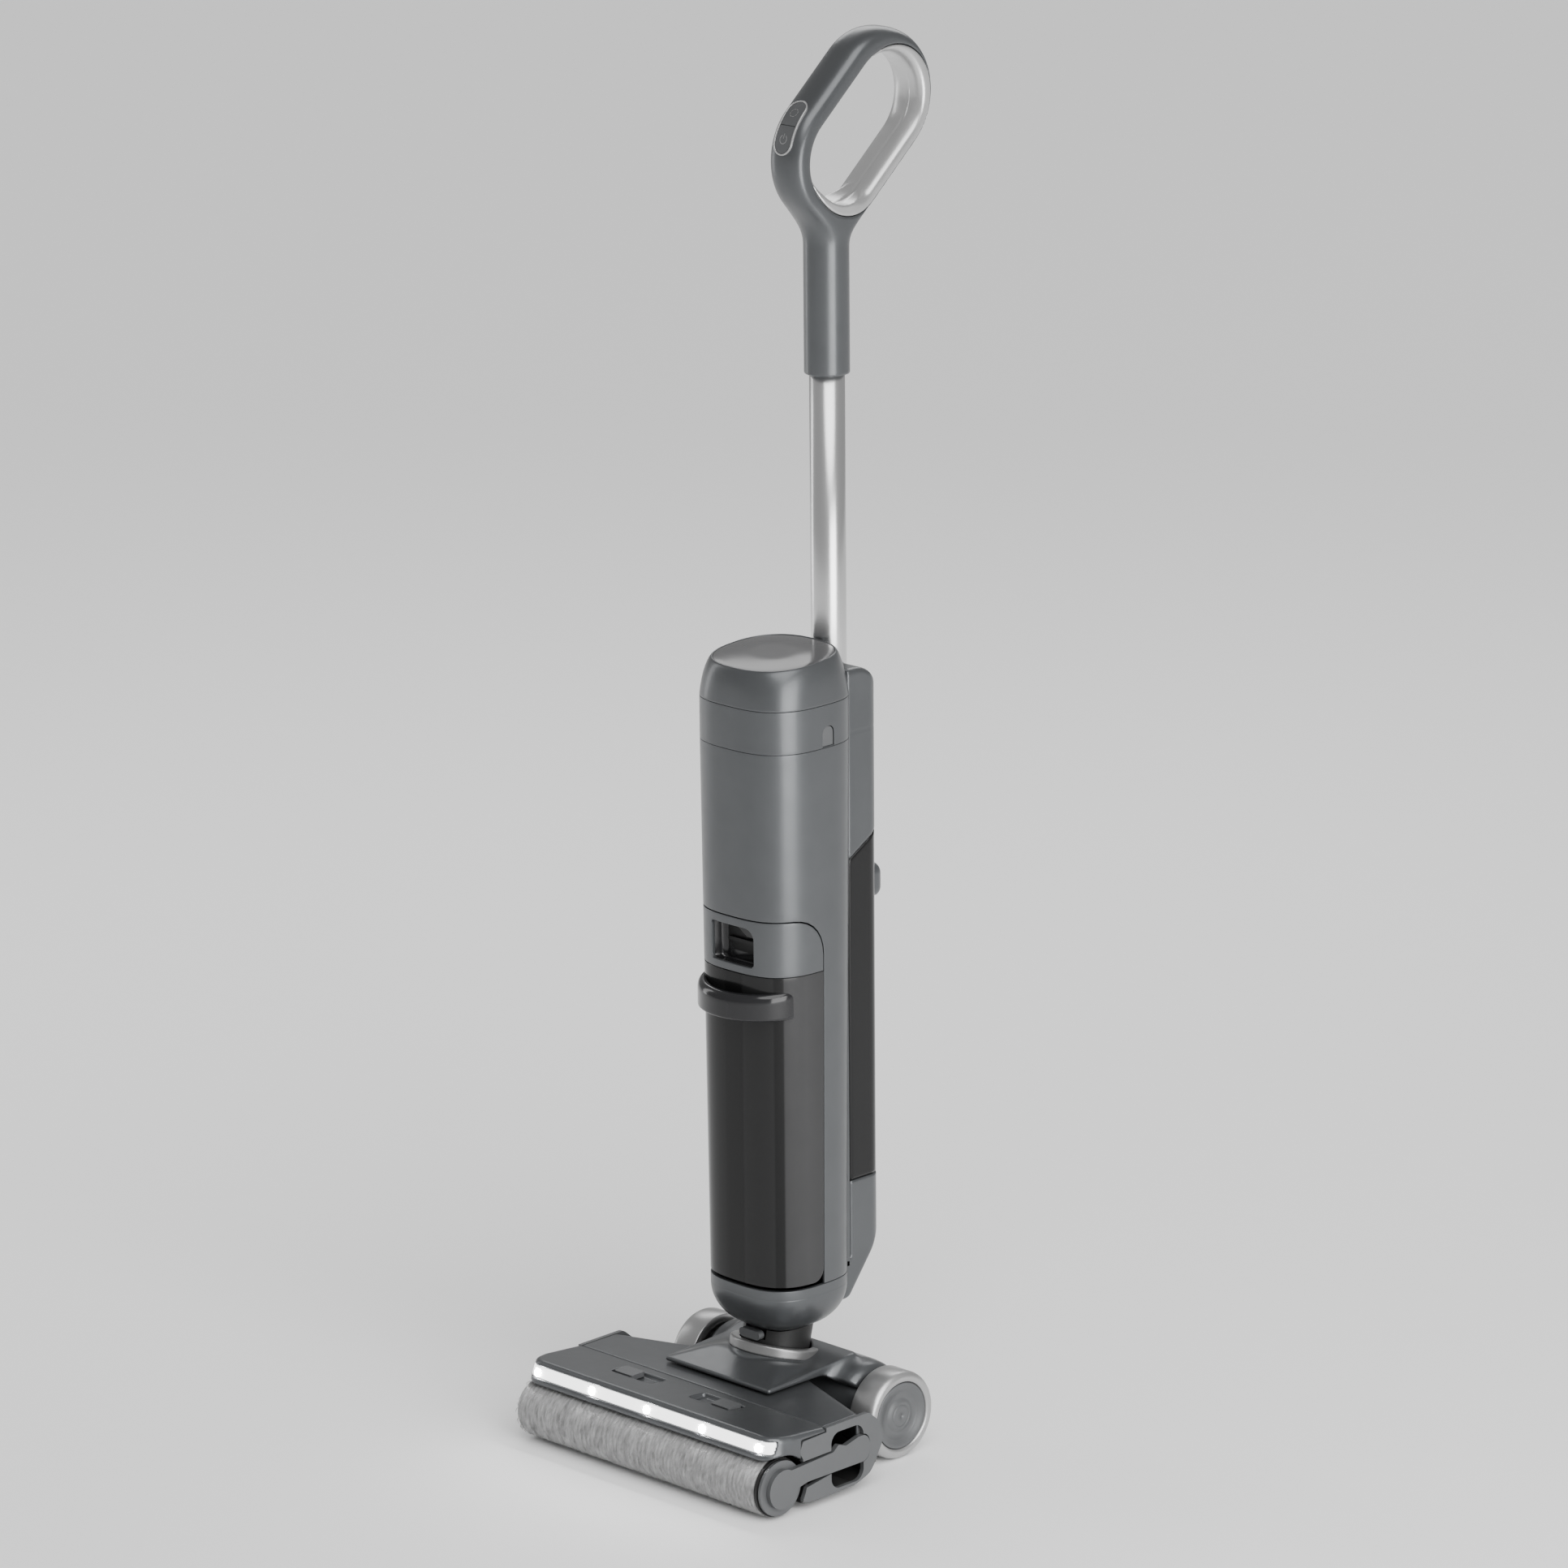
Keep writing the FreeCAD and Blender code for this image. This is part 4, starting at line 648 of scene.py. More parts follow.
def build_tank():
    """Smoked tank front, and its grey frame with the window and the dark well behind it."""
    low, high = span("dirty_tank")
    skin = tank_outline(low.z, high.z, -0.1, 0.0, 11.0)
    thing = patch("tank_skin", [skin], 4.0, body_spot, "dirty_tank_unit", "smoked_tank", ["dirty_tank"])
    soften(thicken(thing, 2.2), 0.5)
    low, high = span("tank_frame")
    frame_skin = tank_outline(low.z, high.z - 0.4, -0.5, FRAME_CORNER)
    thing = patch("tank_front_frame", [frame_skin, window_outline(0.0, 3, 9)], 3.0, body_spot,
                  "dirty_tank_unit", "graphite_shell", ["tank_frame"])
    soften(thicken(thing, 3.2), 0.5)
    rim = window_outline(0.8, 3.4, 9.6)
    rings = [[body_spot(run, z, inset) for run, z in rim] for inset in (3.0, 8.0, 14.0)]
    points, faces = joined(rings, cap_end=True)
    evened(piece("window_well", points, faces, "dirty_tank_unit", "gloss_black"))


# ---- handle ----

LOOP_LOW_Y, LOOP_LOW_Z = 42.0, 1011.0
LOOP_HIGH_Y, LOOP_HIGH_Z = 88.0, 1051.0
LOOP_OUTER = 52.8
SHELL_HALF_X = span("handle_shell")[1].x
POLE_Y = (span("pole_tube")[0].y + span("pole_tube")[1].y) / 2
SLEEVE_RADIUS = span("grip_sleeve")[1].x
SLEEVE_LOW = span("grip_sleeve")[0].z
NECK_TOP = 992
LIMB_POWER = 2.5
FRONT_HALF, REAR_SLIMMER = 10.8, 3.0
PARTING_FRONT, PARTING_RISE, PARTING_TURN = -7.4, 11.4, math.radians(30)
BUTTON_MIDDLE = 147.5
BUTTON_HALF_X = 8.2
BUTTON_HALF_RUN = 22.0


def loop_offset(y, z):
    """Offset from the nearest point of the straight line between the centres of the loop's two bends."""
    lean_y, lean_z = LOOP_HIGH_Y - LOOP_LOW_Y, LOOP_HIGH_Z - LOOP_LOW_Z
    share = ((y - LOOP_LOW_Y) * lean_y + (z - LOOP_LOW_Z) * lean_z) / (lean_y ** 2 + lean_z ** 2)
    share = np.clip(share, 0, 1)
    return y - LOOP_LOW_Y - share * lean_y, z - LOOP_LOW_Z - share * lean_z


def rearward(off_y, off_z, turn=0.0):
    """1 on the loop's rear limb, 0 on its front limb, and between them round the ends."""
    lean = math.atan2(LOOP_HIGH_Z - LOOP_LOW_Z, LOOP_HIGH_Y - LOOP_LOW_Y)
    angle = np.arctan2(off_z, off_y)
    return 0.5 + 0.5 * np.cos(angle - (lean - math.pi / 2) - turn)


def loop_section(y, z):
    """Distance outwards from the limb's middle line, its half thickness, and where shell meets liner."""
    off_y, off_z = loop_offset(y, z)
    thick = FRONT_HALF - REAR_SLIMMER * rearward(off_y, off_z)
    outwards = np.hypot(off_y, off_z) - (LOOP_OUTER - thick)
    share = np.clip(0.5 + 1.24 * (rearward(off_y, off_z, PARTING_TURN) - 0.5), 0, 1)
    return outwards, thick, PARTING_FRONT + PARTING_RISE * share


def loop_field(x, y, z, shrink):
    """The loop's limb, with an almost oval section."""
    outwards, thick, _ = loop_section(y, z)
    half_x = SHELL_HALF_X - shrink
    thick = thick - shrink
    ratio = (np.abs(outwards / thick) ** LIMB_POWER + np.abs(x / half_x) ** LIMB_POWER) ** (1 / LIMB_POWER)
    return (ratio - 1) * thick


def flared_loop(x, y, z, shrink=0.0):
    """The whole loop with the neck that flares into it, less its opening."""
    outwards, thick, _ = loop_section(y, z)
    neck = smooth_max(np.hypot(x, y - POLE_Y) - SLEEVE_RADIUS, z - NECK_TOP, 12.0)
    whole = smooth_min(loop_field(x, y, z, shrink), neck, 18.0)
    whole = smooth_max(whole, np.abs(x) - SLEEVE_RADIUS - 0.7 + shrink, 3.0)
    return np.maximum(whole, -(outwards + thick))


def handle_field(x, y, z):
    """Dark outer shell of the loop."""
    outwards, _, parting = loop_section(y, z)
    whole = smooth_max(flared_loop(x, y, z), parting + 0.3 - outwards, 1.6)
    return smooth_max(whole, SLEEVE_LOW - z, 1.4)


def liner_field(x, y, z):
    """Silver inner band with a long groove down the rear limb."""
    outwards, thick, parting = loop_section(y, z)
    rear = rearward(*loop_offset(y, z))
    groove = 0.9 * np.exp(-((x - 3.0) / 1.6) ** 2) * np.clip((rear - 0.55) / 0.3, 0, 1)
    inner = np.maximum(flared_loop(x, y, z, 0.25), -(outwards + thick - groove))
    return smooth_max(inner, outwards - parting + 0.1, 1.4)


def build_handle():
    low, high = span("handle_shell")
    margin = 3.0
    near = (-SHELL_HALF_X - 4.5, low.y - margin)
    far = (SHELL_HALF_X + 4.5, high.y + margin, high.z + margin)
    carved("handle_loop", handle_field, (*near, SLEEVE_LOW - margin), far, 1.25, "pole", "graphite_shell",
           ["handle_shell", "grip_sleeve"])
    carved("handle_inner", liner_field, (*near, 940), far, 1.25, "pole", "silver_trim", ["handle_liner"])


def bend_spot(around, x, lift):
    """A point over the outside of the loop's lower bend: degrees from +Y, distance across, height over it."""
    angle = math.radians(around)
    radius = LOOP_OUTER + lift - 1.6 * (abs(x) / SHELL_HALF_X) ** LIMB_POWER
    return x, LOOP_LOW_Y + radius * math.cos(angle), LOOP_LOW_Z + radius * math.sin(angle)


def bend_patch(name, loops, lift, step, body, slot, nodes=()):
    """An outline on the lower bend, given in millimetres across and along it from its middle."""
    degrees = math.degrees(1 / LOOP_OUTER)

    def place(x, run):
        return bend_spot(BUTTON_MIDDLE - run * degrees, x, lift)

    return patch(name, loops, step, place, body, slot, nodes)


def pill(half_x, low, high, low_round, high_round):
    """Outline with round lower and upper ends."""
    return rectangle(-half_x, low, half_x, high, [low_round, low_round, high_round, high_round])


def arc_band(radius, centre, width, start, end, count=20):
    """Outline of a piece of a ring between two angles in degrees."""
    angles = [math.radians(start + (end - start) * k / count) for k in range(count + 1)]
    outer = [(centre[0] + radius * math.cos(a), centre[1] + radius * math.sin(a)) for a in angles]
    inner = [(centre[0] + (radius - width) * math.cos(a), centre[1] + (radius - width) * math.sin(a))
             for a in reversed(angles)]
    return outer + inner


def build_buttons():
    """Light rim round two flat keys: the upper one with a dashed ring, the lower one with a power sign."""
    half_x, half_run = BUTTON_HALF_X, BUTTON_HALF_RUN
    rim = pill(half_x + 1.3, -half_run - 1.3, half_run + 1.3, half_x + 1.2, half_x + 1.2)
    hole = pill(half_x, -half_run, half_run, half_x - 0.1, half_x - 0.1)
    bezel = bend_patch("button_rim", [rim, hole], 0.9, 1.0, "pole", "silver_trim", ["button_bezel"])
    soften(thicken(bezel, 2.4), 0.35)
    inner = half_x - 0.35
    upper = pill(inner, 0.3, half_run - 0.35, 0.6, inner - 0.1)
    lower = pill(inner, -half_run + 0.35, -0.3, inner - 0.1, 0.6)
    for key, outline in (("mode", upper), ("power", lower)):
        cap = bend_patch(key + "_key_cap", [outline], 0.55, 1.2, key + "_key", "mid_grey_plastic",
                         [key + "_button"])
        soften(thicken(cap, 2.0), 0.3)
    mark_y = half_run * 0.5
    mark_radius = 3.6
    lift = 0.6
    for k in range(8):
        dash = arc_band(mark_radius, (0, mark_y), 0.35, 45 * k, 45 * k + 33, 6)
        bend_patch(f"mode_mark_{k}", [dash], lift, 0.6, "mode_key", "silver_trim")
    ring = arc_band(mark_radius, (0, -mark_y), 0.4, 120, 420)
    bend_patch("power_mark_ring", [ring], lift, 0.6, "power_key", "silver_trim")
    foot, head = -mark_y + 0.6, -mark_y + 4.4
    bar = [(-0.2, foot), (0.2, foot), (0.2, head), (-0.2, head)]
    bend_patch("power_mark_bar", [bar], lift, 0.6, "power_key", "silver_trim")


def build_tube():
    low, high = span("pole_tube")
    radius = high.x
    wall = [(0, radius - 1.6), (0, radius - 0.4), (0.4, radius), (high.z - low.z, radius),
            (high.z - low.z, radius - 1.6)]
    turned("pole_skin", wall, (0, POLE_Y, low.z), "pole", "pole_aluminium", ["pole_tube"], axis="z")


# ---- tank grip and rear module ----

def build_tank_grip():
    """Crescent bar bowed out round the tank's front, with room for fingers behind it."""
    low, high = span("tank_grip")
    bottom, top = low.z - 4.5, high.z - 4.5
    reach = high.y - low.y

    def crescent(x, y, half_x, half_y):
        power = 1.95
        ratio = (np.abs(x / half_x) ** power + np.abs((y - high.y) / half_y) ** power) ** (1 / power)
        return (ratio - 1) * half_y

    def field(x, y, z):
        outer = crescent(x, y, high.x - 3.0, reach)
        inner = crescent(x, y, high.x - 11.0, reach - 10.5)
        hood = smooth_max(smooth_max(outer, -inner, 4.0), z - top + 1.5 - 0.12 * (y - low.y - 10), 8.0)
        return smooth_max(smooth_max(hood, bottom - z, 1.6), y - high.y, 1.0)

    carved("tank_bar", field, (-high.x - 2, low.y - 2, bottom - 2), (high.x + 2, high.y + 2, top + 11), 1.0,
           "dirty_tank_unit", "gloss_black", ["tank_grip"])


def rear_plan(x, y, inset=0.0, front=0.0):
    """Distance to the rear module's plan: round at the back, square against the upright."""
    low, high = span("clean_tank")
    half = high.x - inset
    back = high.y - inset
    corner = 14.0
    rim = corner_field(np.abs(x) - (half - corner), y - (back - corner), corner)
    return smooth_max(rim, low.y - 0.2 + inset - front - y, 0.6)


def build_rear_module():
    """Rear spine of the upright: hood, clean tank with its grip, and the slanted foot behind the bowl."""
    low, high = span("rear_housing")
    tank_low, tank_high = span("clean_tank")
    base_low, base_high = span("rear_base")
    depth = high.y - low.y
    slope = 22.0 / depth
    joint = tank_high.z - slope * depth
    foot_low, foot_join = 109.0, 141.5

    def housing(x, y, z):
        below = joint + 0.5 + (y - low.y) * slope - z
        top = smooth_max(z - high.z, z - (high.z - 4 - (y - low.y - depth + 12) * 0.9), 8.0)
        groove = 0.5 * np.exp(-((z - SHELL_TOP) / 0.5) ** 2)
        return smooth_max(smooth_max(rear_plan(x, y) + groove, top, 5.0), below, 1.0)

    def tank(x, y, z):
        above = z - joint - (y - low.y) * slope
        return smooth_max(smooth_max(rear_plan(x, y, 0.15), above, 1.0), tank_low.z - z, 1.2)

    def base(x, y, z):
        ramp = (y - base_low.y - 10.5) * 0.79 - (z - base_low.z) * 0.615
        block = smooth_max(smooth_max(rear_plan(x, y, front=12.0), z - base_high.z, 1.0), foot_low - z, 1.5)
        block = smooth_max(block, smooth_min(base_low.y - 0.2 - y, z - foot_join, 0.5), 0.5)
        return smooth_max(block, ramp, 6.0)

    left, right = -high.x - 2, high.x + 2
    front, back = low.y - 2, high.y + 2
    carved("rear_hood", housing, (left, front, joint - 4), (right, back, high.z + 2), 1.5, "upright",
           "graphite_shell", ["rear_housing"])
    carved("clean_tank_skin", tank, (left, front, tank_low.z - 2), (right, back, tank_high.z + 2), 1.8,
           "clean_tank_unit", "smoked_tank", ["clean_tank"])
    carved("rear_foot", base, (left, low.y - 15, 98.0), (right, back, base_high.z + 2), 1.5, "upright",
           "graphite_shell", ["rear_base"])
    grip_low, grip_high = span("clean_tank_grip")
    middle = (grip_low + grip_high) / 2

    def grip(x, y, z):
        hood = box_field((x, y, z), (0, grip_low.y - 2, middle.z + 4), (grip_high.x, 17, 14.4), 9.0)
        hollow = box_field((x, y, z), (0, grip_low.y + 2, grip_low.z), (grip_high.x - 4, 8, 12), 4.0)
        return smooth_max(smooth_max(hood, -hollow, 2.0), grip_low.y + 0.1 - y, 0.6)

    carved("clean_tank_lug", grip, (-27, grip_low.y - 2, grip_low.z - 3),
           (27, grip_high.y + 3, grip_high.z + 3), 1.0, "clean_tank_unit", "graphite_shell",
           ["clean_tank_grip"])


# ---- yoke ----

COLLAR_Y, COLLAR_Z = -28.0, 74.7
COLLAR_TILT = math.radians(14)
COLLAR_RADIUS = 36.0
YOKE_HALF_X = span("yoke_shell")[1].x
YOKE_FRONT = span("yoke_shell")[0].y
PLATE_HALF_X = 57.5
PLATE_TOP, PLATE_BOTTOM = 67.0, 63.9
HIP_FOOT = 66.9
ARMS_RADIUS, AXLE_BORE, COLLAR_BORE = 35.6, 26.6, 28.2
ARMS_FRONT, ARMS_BACK = math.radians(134), math.radians(-20)


def collar_place(y, z):
    """Height along the collar's leaning axis, and the offset across it in the middle plane."""
    off_y, off_z = y - COLLAR_Y, z - COLLAR_Z
    sine, cosine = math.sin(COLLAR_TILT), math.cos(COLLAR_TILT)
    return off_y * sine + off_z * cosine, off_y * cosine - off_z * sine


def yoke_field(x, y, z):
    """T-shaped shell: plate with a hipped top, arms round the axle housing, and the collar's seat."""
    top = PLATE_TOP + (y - YOKE_FRONT) * 0.055
    flat = (x, y, np.zeros_like(z))
    plate = box_field(flat, (0, YOKE_FRONT / 2, 0), (PLATE_HALF_X, -YOKE_FRONT / 2, 50), 2.5)
    plate = smooth_max(smooth_max(plate, z - top, 1.6), PLATE_BOTTOM - z, 0.8)
    height, across = collar_place(y, z)
    facet = (z - HIP_FOOT - (y - YOKE_FRONT) * 0.25) * 0.97
    flank = (z - HIP_FOOT - (PLATE_HALF_X - np.abs(x)) * 0.34) * 0.94
    hip = smooth_max(smooth_max(facet, flank, 1.6), height + 6.4, 3.0)
    hip = smooth_max(smooth_max(hip, np.abs(x) - PLATE_HALF_X + 0.6, 0.8), YOKE_FRONT + 0.6 - y, 0.8)
    hip = smooth_max(smooth_max(hip, 64.5 - z, 0.6), y, 4.0)
    hump = smooth_min(plate, hip, 0.8)
    round_seat = np.hypot(x, across) - COLLAR_RADIUS + 1.2
    seat = smooth_max(smooth_max(round_seat, height + 5.0, 1.0), 58 - z, 1.0)
    hump = smooth_min(hump, seat, 3.0)
    radial = np.hypot(y, z - AXLE_Z)
    swell = ARMS_RADIUS - 3.0 * np.clip((np.abs(x) - 62) / 20, 0, 1) ** 2
    arms = smooth_max(radial - swell, np.abs(x) - YOKE_HALF_X, 10.0)
    front = (z - AXLE_Z) * math.cos(ARMS_FRONT) - y * math.sin(ARMS_FRONT)
    back = y * math.sin(ARMS_BACK) - (z - AXLE_Z) * math.cos(ARMS_BACK)
    arms = smooth_max(smooth_max(arms, front, 3.0), back, 3.0)
    whole = smooth_min(hump, arms, 12.0)
    whole = smooth_max(whole, AXLE_BORE - radial, 1.0)
    whole = smooth_max(whole, COLLAR_BORE - np.hypot(x, across), 1.0)
    return smooth_max(whole, -smooth_max(z - 63.6, y + 40, 1.0), 0.8)


def build_yoke():
    low, high = span("yoke_shell")
    carved("yoke_skin", yoke_field, (low.x - 3, low.y - 3, low.z - 3),
           (high.x + 3, high.y + 6, high.z + 8), 1.2, "yoke", "graphite_shell", ["yoke_shell"])

    def ring(x, y, z):
        height, across = collar_place(y, z)
        radius = np.hypot(x, across)
        return smooth_max(smooth_max(np.abs(radius - 32.2) - 3.8, height - 3.0, 1.8), -5.2 - height, 0.8)

    low, high = span("collar_ring")
    carved("collar_rim", ring, (low.x - 2, low.y - 2, low.z - 3),
           (high.x + 2, high.y + 2, high.z + 3), 0.9, "yoke", "silver_trim", ["collar_ring"], "collar_grey")


# ---- wheels ----

def outward(profile, side):
    """A wheel's profile placed on its own side, in the order that makes its faces look outwards."""
    placed = [(side * along, radius) for along, radius in profile]
    return placed if side > 0 else placed[::-1]


def build_wheel(side):
    """Wheel with a satin rim and tread, and a dished cap with its own centre disc."""
    name = "right" if side > 0 else "left"
    low, high = span("wheel_" + name)
    outer = high.x if side > 0 else -low.x
    inner = low.x if side > 0 else -high.x
    radius = AXLE_Z
    tread = [(inner, radius - 7.0), (inner, radius - 1.0), (inner + 0.4, radius - 0.35),
             (inner + 1.2, radius), (outer - 5.0, radius), (outer - 3.0, radius - 0.45),
             (outer - 1.2, radius - 1.6), (outer - 0.25, radius - 3.6), (outer - 0.1, radius - 5.4),
             (outer - 0.5, radius - 7.2), (outer - 1.4, radius - 8.0), (outer - 3.4, radius - 8.1),
             (outer - 3.4, 6.0), (outer - 7.0, 6.0), (outer - 7.0, radius - 9.0), (inner + 2.0, radius - 7.4)]
    turned("wheel_rim_" + name, outward(tread, side), (0, 0, AXLE_Z), name + "_wheel", "wheel_silver",
           ["wheel_" + name])
    rim = radius - 8.6
    face = outer - 1.0
    cap = [(face - 2.2, 0.02), (face - 2.2, rim), (face - 0.5, rim), (face - 0.1, rim - 0.4),
           (face, rim - 1.2)]
    for k in range(1, 11):
        share = k / 11
        dish = 3.2 * math.sin(math.pi * share) ** 1.3 * (0.75 + 0.25 * share)
        cap.append((face - dish, rim - 1.2 - (rim - 10.2) * share))
    cap += [(face - 0.5, 9.2), (face - 0.9, 8.8), (face - 0.9, 8.5), (face - 0.5, 8.1), (face - 0.35, 6.0),
            (face - 0.3, 0.02)]
    turned("wheel_cap_" + name, outward(cap, side), (0, 0, AXLE_Z), name + "_wheel", "mid_grey_plastic",
           ["hubcap_" + name])


# ---- roller ----

ROLLER_LOW, ROLLER_HIGH = span("roller_nap")
ROLLER_Y = (ROLLER_LOW.y + ROLLER_HIGH.y) / 2
ROLLER_Z = (ROLLER_LOW.z + ROLLER_HIGH.z) / 2
NAP_RADIUS = ROLLER_HIGH.z - ROLLER_Z
TUFTS = 9000


def build_nap():
    """Dense pile: a rippled skin under thousands of short fibres combed round the roller."""
    pile = random.Random(7)
    start, end = ROLLER_LOW.x, ROLLER_HIGH.x
    columns, rows = 220, 120
    rings = []
    for c in range(columns + 1):
        x = start + (end - start) * c / columns
        edge = min(c, columns - c) / 4
        drop = 1.6 * max(0.0, 1 - edge) ** 2
        ring = []
        for r in range(rows):
            angle = 2 * math.pi * r / rows
            ripple = 0.35 * math.sin(7.3 * x + 3 * math.sin(2 * angle)) + pile.uniform(-0.25, 0.25)
            radius = NAP_RADIUS - 1.0 - drop + 0.4 * ripple
            ring.append((x, ROLLER_Y - radius * math.sin(angle), ROLLER_Z + radius * math.cos(angle)))
        rings.append(ring)
    points, faces = joined(rings, cap_start=True, cap_end=True)
    for _ in range(TUFTS):
        x = pile.uniform(start + 0.4, end - 0.4)
        angle = pile.uniform(0, 2 * math.pi)
        length = pile.uniform(0.10, 0.26)
        width = pile.uniform(0.35, 0.8)
        lean = pile.uniform(-1.2, 1.2)
        first = len(points)
        for share, spread_by, lift in ((0, 1.0, -1.3), (0.5, 0.8, -0.25), (1.0, 0.15, -0.05)):
            around = angle + length * share
            radius = NAP_RADIUS + lift
            for flank in (-1, 1):
                points.append((x + lean * share + flank * width * spread_by / 2,
                               ROLLER_Y - radius * math.sin(around), ROLLER_Z + radius * math.cos(around)))
        faces += [(first, first + 1, first + 3, first + 2), (first + 2, first + 3, first + 5, first + 4)]
    piece("nap_pile", points, faces, "roller", "nap_fibre", ["roller_nap"])


# ---- head ----

COVER_LOW, COVER_HIGH = span("roller_cover")
STRIP_LOW, STRIP_HIGH = span("light_strip")
HEAD_HALF_X = COVER_HIGH.x
COVER_LEAN, LEAN_FOOT = 0.27, 50.0
STRIP_MIDDLE, STRIP_HALF = 57.6, 4.6
LATCH_MIDDLES = (-48.5, 38.5)
DECK_TOP = 61.8
LED_SPACING = 61.0
LED_HEIGHT = 57.4


def cover_top(y):
    """Height of the head's top: it rises gently towards the front."""
    return 61.7 + np.clip(-110.0 - y, 0, 60) * 0.082


def cover_whole(x, y, z):
    """Cover with round front corners over the roller's bay."""
    corner = 16.0
    gap_y = (COVER_LOW.y + corner) - y
    plan = corner_field(np.abs(x) - (HEAD_HALF_X - corner), gap_y, corner)
    lean = (z - LEAN_FOOT) * COVER_LEAN
    front = plan + np.maximum(lean, 0) * np.clip((gap_y + 8) / 16, 0, 1)
    whole = smooth_max(front, z - cover_top(y), 5.0)
    whole = smooth_max(whole, y - COVER_HIGH.y, 0.8)
    bay = NAP_RADIUS + 2.0 - np.hypot(y - ROLLER_Y, z - ROLLER_Z)
    whole = smooth_max(whole, bay, 0.8)
    return smooth_max(whole, (48.0 - z) + (y - COVER_LOW.y) * -0.12, 0.8)


def strip_zone(x, y, z):
    """Where the light strip sits on the front of the cover: a band below its top edge."""
    band = np.abs(z - STRIP_MIDDLE) - STRIP_HALF
    return smooth_max(smooth_max(band, y + 158.0, 1.0), np.abs(x) - HEAD_HALF_X + 4.5, 1.0)


def cover_field(x, y, z):
    """The cover less the strip's groove, room for the side plates, and the two latch pockets."""
    whole = cover_whole(x, y, z)
    cut = smooth_max(strip_zone(x, y, z), -(whole + 2.6), 0.5)
    whole = smooth_max(whole, -(cut - 0.15), 0.6)
    side, front, top = 133.4, -137.4, 58.4
    plates = smooth_max(smooth_max(side - np.abs(x), front - y, 0.3), z - top, 0.3)
    whole = smooth_max(whole, -plates, 0.4)
    for middle in LATCH_MIDDLES:
        pocket = box_field((x, y, z), (middle, -130.5, 70.0), (22.6, 8.6, 10.4), 2.5)
        whole = smooth_max(whole, -pocket, 0.8)
    return whole


def strip_field(x, y, z):
    whole = cover_whole(x, y, z)
    return smooth_max(smooth_max(whole + 0.2, strip_zone(x, y, z) + 0.15, 1.2), -(whole + 2.3), 0.6)


def deck_field(x, y, z):
    """Head behind the cover: deck, round heel and the fall to the axle housing."""
    front = span("rear_shell")[0].y
    half = HEAD_HALF_X - 3.8
    slant = (y + 72.0 - 0.353 * (HEAD_HALF_X - np.abs(x))) * 0.943
    deck = smooth_max(z - DECK_TOP, slant, 4.5)
    deck = smooth_max(deck, front - y, 0.8)
    deck = smooth_max(deck, np.abs(x) - half, 1.0)
    radial = np.hypot(y, z - AXLE_Z)
    barrel = smooth_max(radial - 26.0, np.abs(x) - 86.4, 0.8)
    barrel = smooth_max(barrel, y + 14.0, 1.0)
    whole = smooth_min(deck, barrel, 14.0)
    inner = smooth_max(z - (DECK_TOP - 3.0), slant + 3.0, 4.0)
    return smooth_max(smooth_max(whole, -inner, 1.0), 36.6 - z, 0.6)


def build_led(number, x):
    """A low bright dome on the leaning light strip."""
    dome = [(0, 0.02), (0, 2.6), (0.3, 3.0), (0.8, 2.7), (1.2, 1.8), (1.4, 0.02)]
    steps = 24
    rings = []
    for step in range(steps):
        angle = 2 * math.pi * step / steps
        ring = []
        for proud, radius in dome:
            up = LED_HEIGHT + radius * math.sin(angle)
            skin = COVER_LOW.y + (up - LEAN_FOOT) * COVER_LEAN
            ring.append((x + radius * math.cos(angle), skin - 0.1 - 0.4 * proud, up))
        rings.append(ring)
    rings.append(rings[0])
    points, faces = joined(rings, closed=False)
    piece(f"led_{number}", points, faces, "cover", "light_diffuser", look="led_point")


def build_head():
    margin = 2.5
    side, front = HEAD_HALF_X + margin, COVER_LOW.y - margin
    carved("cover_skin", cover_field, (-side, front, COVER_LOW.z - margin),
           (side, COVER_HIGH.y + margin, COVER_HIGH.z + margin), 1.15, "cover", "graphite_shell",
           ["roller_cover"])
    carved("light_band", strip_field, (-side, front, STRIP_LOW.z - margin),
           (side, -150, STRIP_HIGH.z + margin + 2), 1.0, "cover", "light_diffuser", ["light_strip"])
    carved("deck_skin", deck_field, (-HEAD_HALF_X, -113, 33), (HEAD_HALF_X, -10, 65), 1.4, "head",
           "graphite_shell", ["rear_shell"])
    for k in range(5):
        build_led(k + 1, (k - 2) * LED_SPACING)


# ---- camera, floor and light ----

AZIMUTH = math.radians(44.9)
ELEVATION = math.radians(15.54)
ROLL = math.radians(-0.48)
CAMERA_DISTANCE = 5.8059
CAMERA_LENS = 172.87
AIM_HEIGHT = 0.52476
AIM_SIDE = -0.00912


def outlook(azimuth, elevation):
    """Direction from the machine to a viewer; azimuth 0 is in front of it, a right angle on its right."""
    flat = math.cos(elevation)
    return Vector((math.sin(azimuth) * flat, -math.cos(azimuth) * flat, math.sin(elevation)))


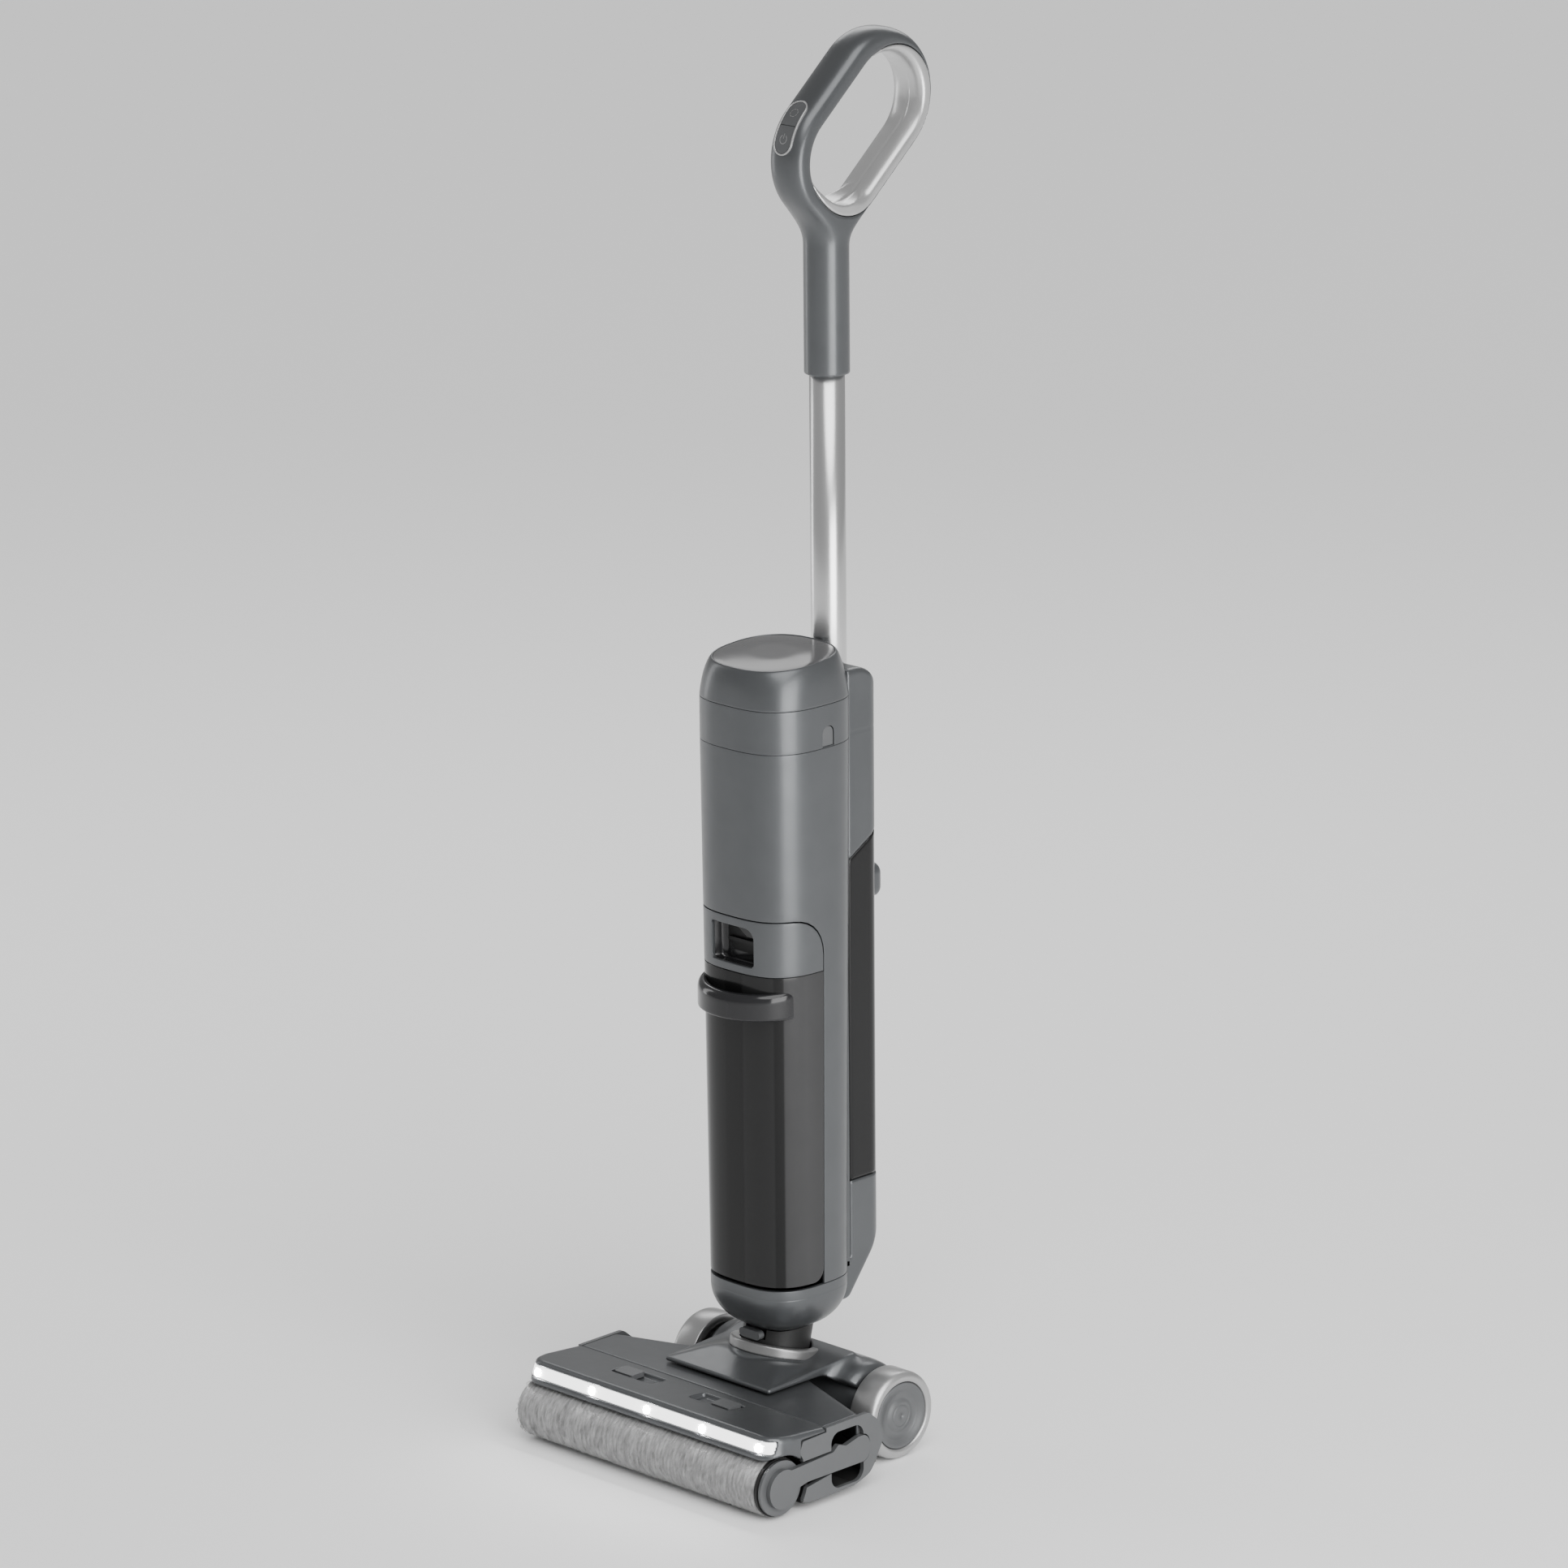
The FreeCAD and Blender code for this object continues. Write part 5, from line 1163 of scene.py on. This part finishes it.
def build_camera():
    level = Vector((math.cos(AZIMUTH), math.sin(AZIMUTH), 0))
    back = outlook(AZIMUTH, ELEVATION)
    above = back.cross(level)
    side = level * math.cos(ROLL) + above * math.sin(ROLL)
    up = above * math.cos(ROLL) - level * math.sin(ROLL)
    data = bpy.data.cameras.new("camera")
    data.sensor_width = 36.0
    data.lens = CAMERA_LENS
    data.clip_end = 100.0
    camera = linked("camera", data)
    aim = metres((0, 0, 0)) + Vector((0, 0, AIM_HEIGHT)) + level * AIM_SIDE
    turn = Matrix((side, up, back)).transposed().to_4x4()
    camera.matrix_world = Matrix.Translation(aim + back * CAMERA_DISTANCE) @ turn
    bpy.context.scene.camera = camera


def build_floor():
    mesh = bpy.data.meshes.new("floor")
    reach = 30.0
    mesh.from_pydata([(-reach, -reach, 0), (reach, -reach, 0), (reach, reach, 0), (-reach, reach, 0)], [],
                     [(0, 1, 2, 3)])
    mesh.materials.append(finish("floor", (0.9, 0.9, 0.9), 0.8, grain=0.0, mottle=0.005))
    floor = linked("floor", mesh)
    floor.location.z = CAD_BOX[0].z - 0.0004


def area_light(name, azimuth, elevation, distance, width, height, power):
    """A soft panel that faces the middle of the machine."""
    data = bpy.data.lights.new(name, "AREA")
    data.shape = "RECTANGLE"
    data.size = width
    data.size_y = height
    data.energy = power
    light = linked(name, data)
    back = outlook(math.radians(azimuth), math.radians(elevation))
    light.location = Vector((0, 0, 0.5)) + back * distance
    light.rotation_euler = back.to_track_quat("Z", "Y").to_euler()


def build_light():
    """An even white room, a soft sun, and three panels: beside, left and behind."""
    world = bpy.data.worlds.new("studio")
    world.use_nodes = True
    set_inputs(world.node_tree.nodes["Background"], {"Color": (1, 1, 1, 1), "Strength": 0.42})
    bpy.context.scene.world = world
    sun_data = bpy.data.lights.new("soft_sun", "SUN")
    sun_data.energy = 2.4
    sun_data.angle = math.radians(50)
    sun = linked("soft_sun", sun_data)
    sun.rotation_euler = Vector((0.75, -0.35, 1.1)).to_track_quat("Z", "Y").to_euler()
    area_light("key", 78, 4, 1.8, 1.2, 1.3, 36)
    area_light("edge", -75, 12, 2.6, 0.5, 2.0, 10)
    area_light("sheen", 218, 36, 2.6, 2.2, 0.8, 20)


# ---- the scene ----

build_main_shell()
build_spine()
build_band()
build_lid()
build_bowl()
build_tank()
build_handle()
build_buttons()
build_tube()
build_tank_grip()
build_rear_module()
build_yoke()
for side in (-1, 1):
    build_wheel(side)
build_nap()
build_head()

build_camera()
build_floor()
build_light()
